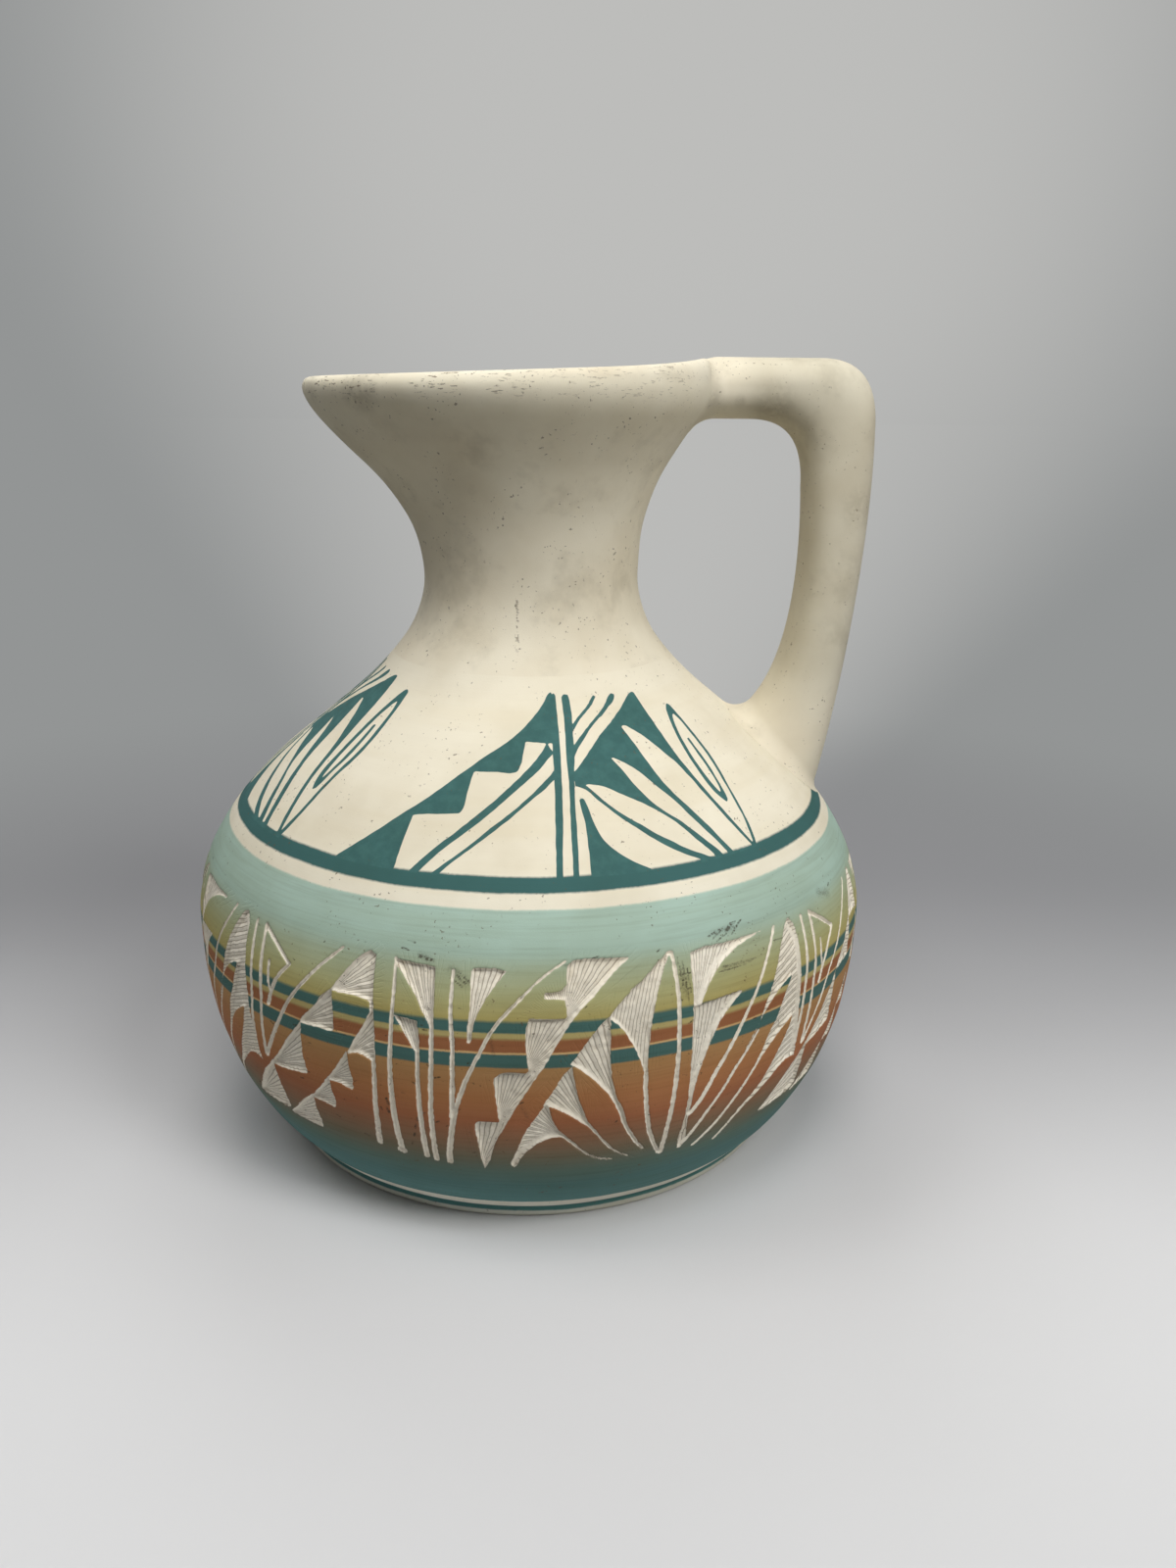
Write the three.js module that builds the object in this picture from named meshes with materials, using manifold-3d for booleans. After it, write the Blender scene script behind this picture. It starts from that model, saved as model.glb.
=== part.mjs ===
// Pitcher vase: a round clay body with a narrow neck, a trumpet mouth pulled into a spout on the
// left, and a thick strap handle on the right. The axis is +Z, the flat base rests on z = 0, the
// spout points to -X and the handle to +X.
import * as THREE from "three";
import { mergeVertices } from "three/addons/utils/BufferGeometryUtils.js";
import Module from "manifold-3d";

// Driving dimensions of the body, in millimetres
const bellyRadius = 100;
const bellyHeight = 67;
const footRadius = 74;
const footRounding = 3.2;
const wallThickness = 6;
const floorThickness = 8;
const throatRadius = 31.1;
const throatHeight = 164;

// Fullness of the body's curves: how far each end's tangent reaches, as a share of the width or
// height that the curve spans
const undersideReach = 0.86;
const undersideRise = 0.29;
const bellyFullness = 0.31;
const shoulderFullness = 0.47;
const throatFullness = 0.37;

// Driving dimensions of the neck, its lip and the spout
const neckWall = 5.5;
const rimRadius = 51.5;
const spoutReach = 11.3;
const spoutSharpness = 5;
const lipThickness = 7;
const lipHeight = 6.3;
const rimHeight = 219.8;
const rimRise = 1.8;
// A low swell of the rim where the handle's bar meets it, and how far round it spreads in degrees
const rimLift = 2.3;
const rimLiftSpread = 40;
const flareFullness = 0.5;
const flareInset = 11;
const spoutInset = 7.6;
const flareDrop = 15.2;

// Driving dimensions of the handle
const handleReach = 97.6;
const handleCrownRise = 0.5;
const handleWidth = 24;
const barThickness = 16.6;
const uprightThickness = 19.4;
const cornerReach = 16;
const cornerDrop = 19;
const cornerFullness = 0.68;
const uprightBow = 1.5;
const uprightFullness = 0.33;
const footFullness = 0.17;
const footHeight = 100;
const footThickness = 24;
const footWidening = 4;
const footWideningEase = 6;
const outerLean = 4.5;
const innerLean = 16;
const sectionRoundness = 0.85;

// Driving dimensions of the carved frieze: how deep the cuts are, and how the group of cuts is laid
// round the belly, in degrees of turn with the front at -90
const carveDepth = 0.75;
const groupStart = -138;
const groupPeriod = 94;
const backGroupStart = 50;
const backGroupPeriod = 78;

// Outlines of one group of cuts as [turn in degrees, height] points
const friezeCuts = {
  tailedFeather: [
    [-46.2, 84.4], [-45, 78], [-44.7, 62], [-43.6, 43], [-49, 41], [-53.4, 36], [-49, 47.5],
    [-46.3, 57.6], [-52, 51.5], [-58.6, 38], [-53, 51.5], [-48.9, 65], [-47.3, 70], [-53.5, 61.5],
    [-61.3, 40], [-54.3, 60], [-51, 73], [-48, 82],
  ],
  upperCurledFeather: [
    [-66.5, 83.5], [-53, 84], [-59, 81.5], [-63, 76.8], [-65.3, 69.5], [-66.5, 69.5],
  ],
  lowerCurledFeather: [
    [-66.6, 70], [-58.2, 71], [-61.5, 65.5], [-64, 56.5], [-65.4, 42], [-66.3, 42],
  ],
  tallFeather: [
    [-70, 84.5], [-74, 79.5], [-79.2, 71], [-77, 66.3], [-75, 59.5], [-73.9, 50], [-73.4, 50],
    [-73.5, 58], [-73.1, 68], [-71.6, 78],
  ],
  upperWing: [
    [-79.3, 71.2], [-82, 66], [-84.8, 59], [-81, 53.3], [-78.8, 48.3], [-77.3, 42.5], [-76.9, 43.5],
    [-78.4, 51.5], [-79.1, 60],
  ],
  middleWing: [
    [-84.4, 59], [-88.5, 47.3], [-85, 44.2], [-81.5, 39], [-79.5, 34], [-80.6, 38.2], [-82.5, 44],
    [-83.8, 51],
  ],
  wingFoot: [
    [-88, 48], [-90.5, 41], [-93.5, 28], [-93, 26.3], [-91.3, 31.5], [-89.5, 34.8], [-87, 36.9],
    [-85.4, 36.9], [-87.2, 43],
  ],
  steppedRibbon: [
    [-75.8, 84.6], [-85.2, 85], [-85.3, 71.8], [-91, 71.6], [-90.7, 57], [-95.5, 56.9], [-95, 42.1],
    [-98.5, 42], [-98.3, 32], [-97.6, 25.4], [-95.3, 36.5], [-91, 51], [-87.4, 62], [-84.6, 70.5],
    [-79.5, 79.8],
  ],
  smallCurl: [[-98.7, 83], [-93.6, 82.9], [-96, 77.5], [-98.2, 69.5], [-98.9, 64.6]],
  longHangingFeather: [[-110, 83.8], [-103.8, 82.9], [-103.9, 62], [-104.5, 68.8], [-108, 79]],
  shortHangingFeather: [[-109.8, 70.2], [-106.2, 69.3], [-106, 60], [-108.3, 66]],
  pennant: [
    [-113, 84.3], [-115, 83.8], [-117.5, 79.5], [-119.9, 73], [-113.6, 72.5], [-113.6, 69.4],
    [-115, 64.5], [-117.6, 56.9], [-113, 56.5],
  ],
  firstStair: [
    [-119.6, 73.5], [-123, 68], [-126.8, 61.2], [-134.6, 44.8], [-138, 39.5], [-143.6, 28.1],
    [-134.3, 29], [-133.5, 30.5], [-134.2, 43.9], [-126.4, 46.1], [-126.2, 61.5], [-119.7, 62],
  ],
  secondStair: [
    [-117.3, 57.4], [-120.5, 50.5], [-122.4, 46.8], [-126.6, 39], [-130, 34.3], [-134, 28],
    [-126.3, 27.7], [-126.1, 38.5], [-121.6, 38], [-121.7, 46.6], [-117.4, 46],
  ],
};

// Clay joints: a pad of slip between two faces, and the clearance on each side of it
const slipThickness = 1.5;
const clearance = 0.3;

// Fineness of the facets
const turnSteps = 64;
const curveSteps = 12;
const lipSteps = 8;
const handleSides = 24;
const barSteps = 4;
const cornerSteps = 10;
const uprightSteps = 20;
// Facets of the carved wall that lie in one plane to within this distance are joined
const flatness = 0.01;

// Colours and finish of the fired clay
const creamClay = 0xdfd3b4;
const bandedClay = 0x8f6f55;
const slipClay = 0xcfc2a2;
const matte = 0.85;

// The height of the lip's widest ring, where the flare ends and the rounding begins
const lipSwellHeight = rimHeight - lipHeight;

const wasm = await Module();
wasm.setup();

const bezier = (p0, p1, p2, p3) =>
  new THREE.CubicBezierCurve(
    new THREE.Vector2(...p0),
    new THREE.Vector2(...p1),
    new THREE.Vector2(...p2),
    new THREE.Vector2(...p3),
  ).getPoints(curveSteps);

// Moves an open outline of (radius, height) points sideways: positive is to its right-hand side,
// which is outwards for an outline that climbs.
function offsetOutline(points, distance) {
  return points.map((point, i) => {
    const before = points[Math.max(i - 1, 0)];
    const after = points[Math.min(i + 1, points.length - 1)];
    const along = after.clone().sub(before).normalize();
    return new THREE.Vector2(point.x + along.y * distance, point.y - along.x * distance);
  });
}

// The body's outer outline from the edge of the flat base to the cut at the throat.
function bodyOutline() {
  const spread = bellyRadius - footRadius - footRounding;
  const rise = bellyHeight - footRounding;
  const climb = throatHeight - bellyHeight;
  const corner = [footRadius + footRounding, footRounding];
  const lower = bezier(
    corner,
    [corner[0] + spread * undersideReach, corner[1] + rise * undersideRise],
    [bellyRadius, bellyHeight - rise * bellyFullness],
    [bellyRadius, bellyHeight],
  );
  const upper = bezier(
    [bellyRadius, bellyHeight],
    [bellyRadius, bellyHeight + climb * shoulderFullness],
    [throatRadius, throatHeight - climb * throatFullness],
    [throatRadius, throatHeight],
  );
  return [new THREE.Vector2(footRadius, 0), ...lower, ...upper.slice(1)];
}

// How much of the spout's pull acts at a turn angle, 0 on the handle side and 1 at the tip.
const spoutPull = (angle) => Math.pow((1 - Math.cos(angle)) / 2, spoutSharpness);

// The neck's outer outline at a turn angle, from a starting height near the throat to the widest
// ring of the lip.
function flareOutline(angle, startHeight) {
  const pull = spoutPull(angle);
  const edge = rimRadius + spoutReach * pull;
  const inset = flareInset + (spoutInset - flareInset) * pull;
  const climb = lipSwellHeight - throatHeight;
  const curve = bezier(
    [throatRadius, throatHeight],
    [throatRadius, throatHeight + climb * flareFullness],
    [edge - inset, lipSwellHeight - flareDrop],
    [edge, lipSwellHeight],
  );
  const kept = curve.filter((point) => point.y > startHeight + clearance);
  return [new THREE.Vector2(throatRadius, startHeight), ...kept];
}

// The height of the rim at a turn angle: it climbs towards the handle, with a low swell at the bar.
function rimTop(angle) {
  const away = THREE.MathUtils.radToDeg(Math.atan2(Math.sin(angle), Math.cos(angle)));
  const swell = Math.exp(-((away / rimLiftSpread) ** 2));
  return rimHeight + rimRise * Math.cos(angle) + rimLift * swell;
}

// Points of the rounded lip, from the end of the outer flare over the top to the inner side.
function lipArc(angle, edge) {
  const half = lipThickness / 2;
  const height = rimTop(angle) - lipSwellHeight;
  const arc = [];
  for (let i = 1; i <= lipSteps; i += 1) {
    const turn = (Math.PI * i) / lipSteps;
    const radius = edge - half + half * Math.cos(turn);
    arc.push(new THREE.Vector2(radius, lipSwellHeight + height * Math.sin(turn)));
  }
  return arc;
}

// A closed mesh from stacked rings of points; the ends are closed with flat fans, or the last
// ring is joined to the first.
function stackRings(rings, joinEnds) {
  const count = rings[0].length;
  const positions = rings.flat().flatMap((point) => [point.x, point.y, point.z]);
  const indices = [];
  const bands = joinEnds ? rings.length : rings.length - 1;
  for (let i = 0; i < bands; i += 1) {
    const next = (i + 1) % rings.length;
    for (let j = 0; j < count; j += 1) {
      const k = (j + 1) % count;
      indices.push(i * count + j, i * count + k, next * count + k);
      indices.push(i * count + j, next * count + k, next * count + j);
    }
  }
  if (!joinEnds) {
    for (const [ring, flip] of [[0, true], [rings.length - 1, false]]) {
      const centre = new THREE.Vector3();
      rings[ring].forEach((point) => centre.add(point));
      centre.divideScalar(count);
      const hub = positions.length / 3;
      positions.push(centre.x, centre.y, centre.z);
      for (let j = 0; j < count; j += 1) {
        const a = ring * count + j;
        const b = ring * count + ((j + 1) % count);
        indices.push(...(flip ? [hub, b, a] : [hub, a, b]));
      }
    }
  }
  const geometry = new THREE.BufferGeometry();
  geometry.setAttribute("position", new THREE.Float32BufferAttribute(positions, 3));
  geometry.setIndex(indices);
  geometry.computeVertexNormals();
  return geometry;
}

// The turn angles of the facets, and an outline point swung to its place at one of them.
const turnAngles = Array.from({ length: turnSteps }, (_, i) => (2 * Math.PI * i) / turnSteps);
const swing = (point, angle) =>
  new THREE.Vector3(point.x * Math.cos(angle), point.x * Math.sin(angle), point.y);

// A solid of revolution from an outline of (radius, height) points that starts and ends on the
// axis or closes on itself. LatheGeometry turns about Y, so it is stood up on Z.
function turned(outline) {
  const geometry = new THREE.LatheGeometry(outline, turnSteps);
  return geometry.rotateX(Math.PI / 2);
}

// Between three.js geometry and manifold solids.
function toSolid(geometry) {
  const bare = geometry.clone();
  bare.deleteAttribute("normal");
  bare.deleteAttribute("uv");
  const merged = mergeVertices(bare, 1e-4);
  const kept = [];
  const index = merged.index.array;
  for (let i = 0; i < index.length; i += 3) {
    const [a, b, c] = [index[i], index[i + 1], index[i + 2]];
    if (a !== b && b !== c && c !== a) kept.push(a, b, c);
  }
  const mesh = new wasm.Mesh({
    numProp: 3,
    vertProperties: new Float32Array(merged.attributes.position.array),
    triVerts: new Uint32Array(kept),
  });
  return new wasm.Manifold(mesh);
}

function toGeometry(solid) {
  const mesh = solid.getMesh();
  const geometry = new THREE.BufferGeometry();
  geometry.setAttribute("position", new THREE.BufferAttribute(mesh.vertProperties, 3));
  geometry.setIndex(new THREE.BufferAttribute(mesh.triVerts, 1));
  geometry.computeVertexNormals();
  return geometry;
}

// The body before it is carved: belly, floor and shoulder as one turned wall, cut flat at the throat.
function plainBodyGeometry() {
  const outer = bodyOutline();
  const inner = offsetOutline(outer, -wallThickness)
    .filter((point) => point.y > floorThickness + wallThickness / 2 && point.y < throatHeight)
    .reverse();
  const lip = new THREE.Vector2(throatRadius - wallThickness, throatHeight);
  const floorEdge = inner[inner.length - 1];
  const floor = [
    new THREE.Vector2(floorEdge.x - wallThickness / 2, floorThickness),
    new THREE.Vector2(0, floorThickness),
  ];
  return turned([new THREE.Vector2(0, 0), ...outer, lip, ...inner, ...floor]);
}

// A flat ring of slip on the body's cut top.
const ringFloor = throatHeight + clearance;
const ringTop = ringFloor + slipThickness;
function lutingRingGeometry() {
  const outside = throatRadius;
  const inside = throatRadius - wallThickness;
  return turned([
    new THREE.Vector2(inside, ringFloor),
    new THREE.Vector2(outside, ringFloor),
    new THREE.Vector2(outside, ringTop),
    new THREE.Vector2(inside, ringTop),
    new THREE.Vector2(inside, ringFloor),
  ]);
}

// The neck: an outer flare, a rounded lip and an inner flare at each turn angle.
const neckFloor = ringTop + clearance;
function neckGeometry() {
  const sections = turnAngles.map((angle) => {
    const outer = flareOutline(angle, neckFloor);
    const edge = outer[outer.length - 1].x;
    const inner = offsetOutline(outer, -neckWall).reverse().slice(1);
    inner[inner.length - 1] = new THREE.Vector2(throatRadius - neckWall, neckFloor);
    const section = [...outer, ...lipArc(angle, edge), ...inner].reverse();
    return section.map((point) => swing(point, angle));
  });
  return stackRings(sections, true);
}

// The space that the neck fills, grown by a distance and carried straight up past the rim, so
// that what leans on the lip ends in a clean face.
function neckReserve(distance) {
  const outlines = turnAngles.map((angle) => {
    const grown = offsetOutline(flareOutline(angle, neckFloor), distance);
    const edge = grown[grown.length - 1].x;
    return [
      new THREE.Vector2(grown[0].x, bellyHeight),
      ...grown,
      new THREE.Vector2(edge, rimTop(0) + handleCrownRise + barThickness),
    ];
  });
  const rings = outlines[0].map((_, level) =>
    turnAngles.map((angle, i) => swing(outlines[i][level], angle)),
  );
  return toSolid(stackRings(rings, false));
}

// The space that the body fills, grown by a distance.
function bodyReserve(distance) {
  const grown = offsetOutline(bodyOutline(), distance);
  const top = grown[grown.length - 1];
  return toSolid(
    turned([
      new THREE.Vector2(0, 0),
      new THREE.Vector2(footRadius, 0),
      ...grown.slice(1),
      new THREE.Vector2(0, top.y),
    ]),
  );
}

// An outline read at a height, or at a radius where it narrows upwards.
function readOutline(outline, known, wanted, value) {
  const past = (point) => (known === "y" ? point.y >= value : point.x <= value);
  const next = Math.max(outline.findIndex(past), 1);
  const [low, high] = [outline[next - 1], outline[next]];
  const share = (value - low[known]) / (high[known] - low[known]);
  return low[wanted] + (high[wanted] - low[wanted]) * share;
}

// One cut as a prism: its outline is laid on a board that faces the middle of the cut, so that its
// points meet the belly at their own turn and height, and the board is pushed out past the belly.
function cutSolid(outline, start, squeeze) {
  const body = bodyOutline();
  const turns = outline.map(([turn]) =>
    THREE.MathUtils.degToRad(start + (turn - groupStart) * squeeze),
  );
  const facing = (Math.min(...turns) + Math.max(...turns)) / 2;
  const board = outline.map(([, height], i) => {
    const across = readOutline(body, "y", "x", height) * Math.sin(turns[i] - facing);
    return new THREE.Vector2(across, height);
  });
  const geometry = new THREE.ExtrudeGeometry(new THREE.Shape(board), {
    depth: bellyRadius + wallThickness,
    bevelEnabled: false,
  });
  const sideways = new THREE.Vector3(-Math.sin(facing), Math.cos(facing), 0);
  const outwards = new THREE.Vector3(Math.cos(facing), Math.sin(facing), 0);
  const up = new THREE.Vector3(0, 0, 1);
  return toSolid(geometry.applyMatrix4(new THREE.Matrix4().makeBasis(sideways, up, outwards)));
}

// The body with its frieze: three whole groups of cuts and one squeezed at the back, each cut as
// deep as the carver's tool went.
function bodyGeometry() {
  const groups = [
    [groupStart - groupPeriod, 1],
    [groupStart, 1],
    [groupStart + groupPeriod, 1],
    [backGroupStart, backGroupPeriod / groupPeriod],
  ];
  const prisms = groups.flatMap(([start, squeeze]) =>
    Object.values(friezeCuts).map((outline) => cutSolid(outline, start, squeeze)),
  );
  const cuts = wasm.Manifold.union(prisms).subtract(bodyReserve(-carveDepth));
  const carved = toSolid(plainBodyGeometry()).subtract(cuts);
  return toGeometry(carved.asOriginal().simplify(flatness));
}

// One edge of the handle in the plane y = 0, as matched points: level along the bar, round the
// corner, down the bowed upright to its foot on the shoulder, and on into the clay.
function handleEdge(level, reach, foot, lean) {
  const point = (x, z) => new THREE.Vector2(x, z);
  const start = rimRadius - lipThickness;
  const cornerFoot = level - cornerDrop;
  const fall = cornerFoot - foot.y;
  const bar = new THREE.LineCurve(point(start, level), point(reach - cornerReach, level));
  const corner = new THREE.CubicBezierCurve(
    point(reach - cornerReach, level),
    point(reach - cornerReach * (1 - cornerFullness), level),
    point(reach, cornerFoot + cornerDrop * cornerFullness),
    point(reach, cornerFoot),
  );
  const upright = new THREE.CubicBezierCurve(
    point(reach, cornerFoot),
    point(reach + uprightBow, cornerFoot - fall * uprightFullness),
    point(foot.x + lean, foot.y + fall * footFullness),
    foot,
  );
  const buried = upright.getTangent(1).multiplyScalar(wallThickness).add(foot);
  return [
    ...bar.getPoints(barSteps).slice(0, -1),
    ...corner.getPoints(cornerSteps).slice(0, -1),
    ...upright.getPoints(uprightSteps),
    buried,
  ];
}

function handleEdges() {
  const crown = rimTop(0) + handleCrownRise;
  const shoulder = bodyOutline().filter((point) => point.y >= bellyHeight);
  const footRim = readOutline(shoulder, "y", "x", footHeight);
  const heel = footRim - footThickness;
  const outerFoot = new THREE.Vector2(footRim, footHeight);
  const innerFoot = new THREE.Vector2(heel, readOutline(shoulder, "x", "y", heel));
  return {
    outer: handleEdge(crown, handleReach, outerFoot, outerLean),
    inner: handleEdge(crown - barThickness, handleReach - uprightThickness, innerFoot, innerLean),
  };
}

// The whole handle as one strap of rounded oval section, running into the lip and the shoulder.
function strapSolid() {
  const { outer, inner } = handleEdges();
  const power = (value) => Math.sign(value) * Math.pow(Math.abs(value), sectionRoundness);
  const rings = [];
  for (let i = 0; i < outer.length; i += 1) {
    const [far, near] = [outer[i], inner[i]];
    const halfWidth = (handleWidth + footWidening * Math.pow(i / outer.length, footWideningEase)) / 2;
    const ring = [];
    for (let j = 0; j < handleSides; j += 1) {
      const turn = (2 * Math.PI * j) / handleSides;
      const reach = power(Math.cos(turn));
      const across = power(Math.sin(turn));
      const share = (1 + reach) / 2;
      ring.push(
        new THREE.Vector3(
          near.x + (far.x - near.x) * share,
          -halfWidth * across,
          near.y + (far.y - near.y) * share,
        ),
      );
    }
    rings.push(ring);
  }
  return toSolid(stackRings(rings, false));
}

function handlePieces() {
  const strap = strapSolid();
  const padOuter = clearance + slipThickness;
  const handleStart = padOuter + clearance;
  const topPad = strap.intersect(neckReserve(padOuter)).subtract(neckReserve(clearance));
  const footPad = strap.intersect(bodyReserve(padOuter)).subtract(bodyReserve(clearance));
  const handle = strap.subtract(neckReserve(handleStart)).subtract(bodyReserve(handleStart));
  return { topPad, footPad, handle };
}

const clay = (color) => new THREE.MeshStandardMaterial({ color, roughness: matte, metalness: 0 });

function piece(name, geometry, color) {
  const mesh = new THREE.Mesh(geometry, clay(color));
  mesh.name = name;
  return mesh;
}

const pitcher = new THREE.Group();
const { topPad, footPad, handle } = handlePieces();
pitcher.add(
  piece("vessel_body", bodyGeometry(), bandedClay),
  piece("neck_luting_ring", lutingRingGeometry(), slipClay),
  piece("neck_and_spout", neckGeometry(), creamClay),
  piece("strap_handle", toGeometry(handle), creamClay),
  piece("handle_top_luting", toGeometry(topPad), slipClay),
  piece("handle_foot_luting", toGeometry(footPad), slipClay),
);

export default pitcher;
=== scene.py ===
# %% [markdown]
# # A round clay pitcher with a carved and painted belly
# The real pitcher is a turned clay vessel: a round belly on a flat base, a narrow neck, a mouth
# that opens like a trumpet and is pulled into a spout on the left, and a thick strap handle on
# the right. Bands of colour run round it, a teal ornament is painted on the shoulder, and
# feathers and steps are cut through the paint of the belly into the bare clay.
#
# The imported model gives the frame: the axis is +Z, the base rests on z = 0, the handle points to
# +X and the spout to -X. Everything here is worked out in millimetres and put into Blender in
# metres.

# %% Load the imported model
import bpy
import numpy as np
from mathutils import Matrix


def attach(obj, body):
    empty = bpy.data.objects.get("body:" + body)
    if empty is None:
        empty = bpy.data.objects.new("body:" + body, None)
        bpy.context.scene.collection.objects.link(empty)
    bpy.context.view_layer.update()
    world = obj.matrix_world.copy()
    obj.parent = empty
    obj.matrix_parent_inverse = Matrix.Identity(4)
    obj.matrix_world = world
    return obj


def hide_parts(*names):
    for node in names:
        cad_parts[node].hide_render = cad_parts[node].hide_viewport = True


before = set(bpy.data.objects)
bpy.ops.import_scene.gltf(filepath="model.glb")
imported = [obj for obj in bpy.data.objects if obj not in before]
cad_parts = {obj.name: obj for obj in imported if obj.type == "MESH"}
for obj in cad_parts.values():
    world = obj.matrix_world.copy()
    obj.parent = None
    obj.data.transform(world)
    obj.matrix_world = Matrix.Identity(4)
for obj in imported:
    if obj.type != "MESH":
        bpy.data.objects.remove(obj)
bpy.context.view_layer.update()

MM = 0.001
print("packed nodes:", sorted(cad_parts))

# %% [markdown]
# ## The camera
# A photograph of a turned vessel says where the camera stood: each painted ring is seen as an
# ellipse, and its flatness gives the height of the eye above it. A lens could be guessed and
# moved by hand until the outline fits. Here the place, the angles and the focal length are stated
# as numbers that fit the rings and the outline together, so the frame is the same each time.

# %% Camera
camera_place = (0.0, -0.3726, 0.2143)
camera_turn, camera_tilt, camera_roll = np.radians((2.65, -17.11, 0.59))
focal_pixels = 1295
picture_height = 1600
film_side = 36.0
nearest_seen = 0.01

forward = np.array([
    np.sin(camera_turn) * np.cos(camera_tilt),
    np.cos(camera_turn) * np.cos(camera_tilt),
    np.sin(camera_tilt),
])
level_right = np.array([np.cos(camera_turn), -np.sin(camera_turn), 0.0])
level_up = np.cross(level_right, forward)
right = np.cos(camera_roll) * level_right + np.sin(camera_roll) * level_up
up = np.cos(camera_roll) * level_up - np.sin(camera_roll) * level_right

camera = bpy.data.objects.new("camera", bpy.data.cameras.new("camera"))
camera.data.sensor_width = film_side
camera.data.lens = film_side * focal_pixels / picture_height
camera.data.clip_start = nearest_seen
turned_axes = np.column_stack([right, up, -forward])
camera.matrix_world = (Matrix.Translation(camera_place)
                       @ Matrix(turned_axes.tolist()).to_4x4())
bpy.context.scene.collection.objects.link(camera)
bpy.context.scene.camera = camera
bpy.context.scene.view_settings.view_transform = "Standard"
print("lens:", round(camera.data.lens, 2), "mm")

# %% [markdown]
# ## Points into a mesh
# Every surface of this pitcher is a grid: rows climb along a profile and columns go round.
# Blender could turn a profile with the Screw modifier, but then the carving could only be a bump.
# With the whole grid worked out as one numpy array, each point can be pushed in by its own depth.
# `foreach_set` hands the arrays to the mesh in one go.

# %% The skin helper
def skin(name, grid, start_pole=None, end_pole=None, sharp_rows=(), fields=None):
    """Makes a closed mesh from a grid of points in millimetres, rows x columns x 3.

    The columns join up round the piece. A face joins (row, column), (row, column + 1),
    (row + 1, column + 1) and (row + 1, column). With no poles the last row joins the first, as in a
    bent tube; with poles a fan of triangles closes each end. Edges along sharp_rows are creases.
    fields are named numbers, one for each grid point, kept as attributes for the material.
    """
    rows, columns = grid.shape[:2]
    joined = start_pole is None
    row = np.arange(rows if joined else rows - 1)[:, None]
    column = np.arange(columns)[None, :]
    next_row = (row + 1) % rows
    next_column = (column + 1) % columns
    quads = np.stack([
        row * columns + column,
        row * columns + next_column,
        next_row * columns + next_column,
        next_row * columns + column,
    ], axis=-1).reshape(-1, 4)
    corners = [quads.ravel()]
    lengths = [np.full(len(quads), 4)]
    points = [grid.reshape(-1, 3)]
    if not joined:
        first, second = np.arange(columns), (np.arange(columns) + 1) % columns
        last = (rows - 1) * columns
        hub = rows * columns
        fans = ([np.full(columns, hub), second, first],
                [np.full(columns, hub + 1), last + first, last + second])
        corners += [np.stack(fan, axis=-1).ravel() for fan in fans]
        lengths.append(np.full(2 * columns, 3))
        points.append(np.array([start_pole, end_pole], dtype=float))
    corners, lengths = np.concatenate(corners), np.concatenate(lengths)
    points = np.concatenate(points) * MM

    mesh = bpy.data.meshes.new(name)
    mesh.vertices.add(len(points))
    mesh.vertices.foreach_set("co", points.astype(np.float32).ravel())
    mesh.loops.add(len(corners))
    mesh.loops.foreach_set("vertex_index", corners.astype(np.int32))
    mesh.polygons.add(len(lengths))
    mesh.polygons.foreach_set("loop_start", (np.cumsum(lengths) - lengths).astype(np.int32))
    mesh.update(calc_edges=True)
    mesh.shade_smooth()
    if len(sharp_rows):
        ends = np.empty(2 * len(mesh.edges), dtype=np.int32)
        mesh.edges.foreach_get("vertices", ends)
        edge_rows = (ends // columns).reshape(-1, 2)
        crease = (edge_rows[:, 0] == edge_rows[:, 1]) & np.isin(edge_rows[:, 0], sharp_rows)
        sharp = mesh.attributes.new("sharp_edge", "BOOLEAN", "EDGE")
        sharp.data.foreach_set("value", crease)
    for field, values in (fields or {}).items():
        stored = mesh.attributes.new(field, "FLOAT", "POINT")
        padded = np.full(len(points), values[-1, -1], dtype=np.float32)
        padded[:values.size] = values.ravel()
        stored.data.foreach_set("value", padded)
    mesh.validate()

    piece = bpy.data.objects.new(name, mesh)
    bpy.context.scene.collection.objects.link(piece)
    print(f"{name}: {len(points)} points, {int((lengths - 2).sum())} triangles")
    return piece

# %% [markdown]
# ## The profile
# A thrown body has one flowing line from the foot over the belly to the throat. It could be
# traced with many points, but a hand that sees a few handles reads the shape better: two Bezier
# curves meet at the widest ring, and a third is the trumpet of the neck, whose edge is pulled out
# to the spout.

# %% Outline of the turned body
def bezier(p0, p1, p2, p3, t):
    """A cubic Bezier: (1-t)^3 p0 + 3(1-t)^2 t p1 + 3(1-t) t^2 p2 + t^3 p3."""
    t = np.asarray(t, dtype=float)[..., None]
    p0, p1, p2, p3 = (np.asarray(p, dtype=float) for p in (p0, p1, p2, p3))
    return ((1 - t) ** 3 * p0 + 3 * (1 - t) ** 2 * t * p1
            + 3 * (1 - t) * t ** 2 * p2 + t ** 3 * p3)


foot_radius, foot_rounding = 74.0, 3.2
belly_radius, belly_height = 100.0, 67.0
throat_radius, throat_height = 31.1, 164.0
underside_reach, underside_rise, belly_fullness = 0.86, 0.29, 0.31
shoulder_fullness, throat_fullness = 0.47, 0.37
line_points = 600

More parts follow.
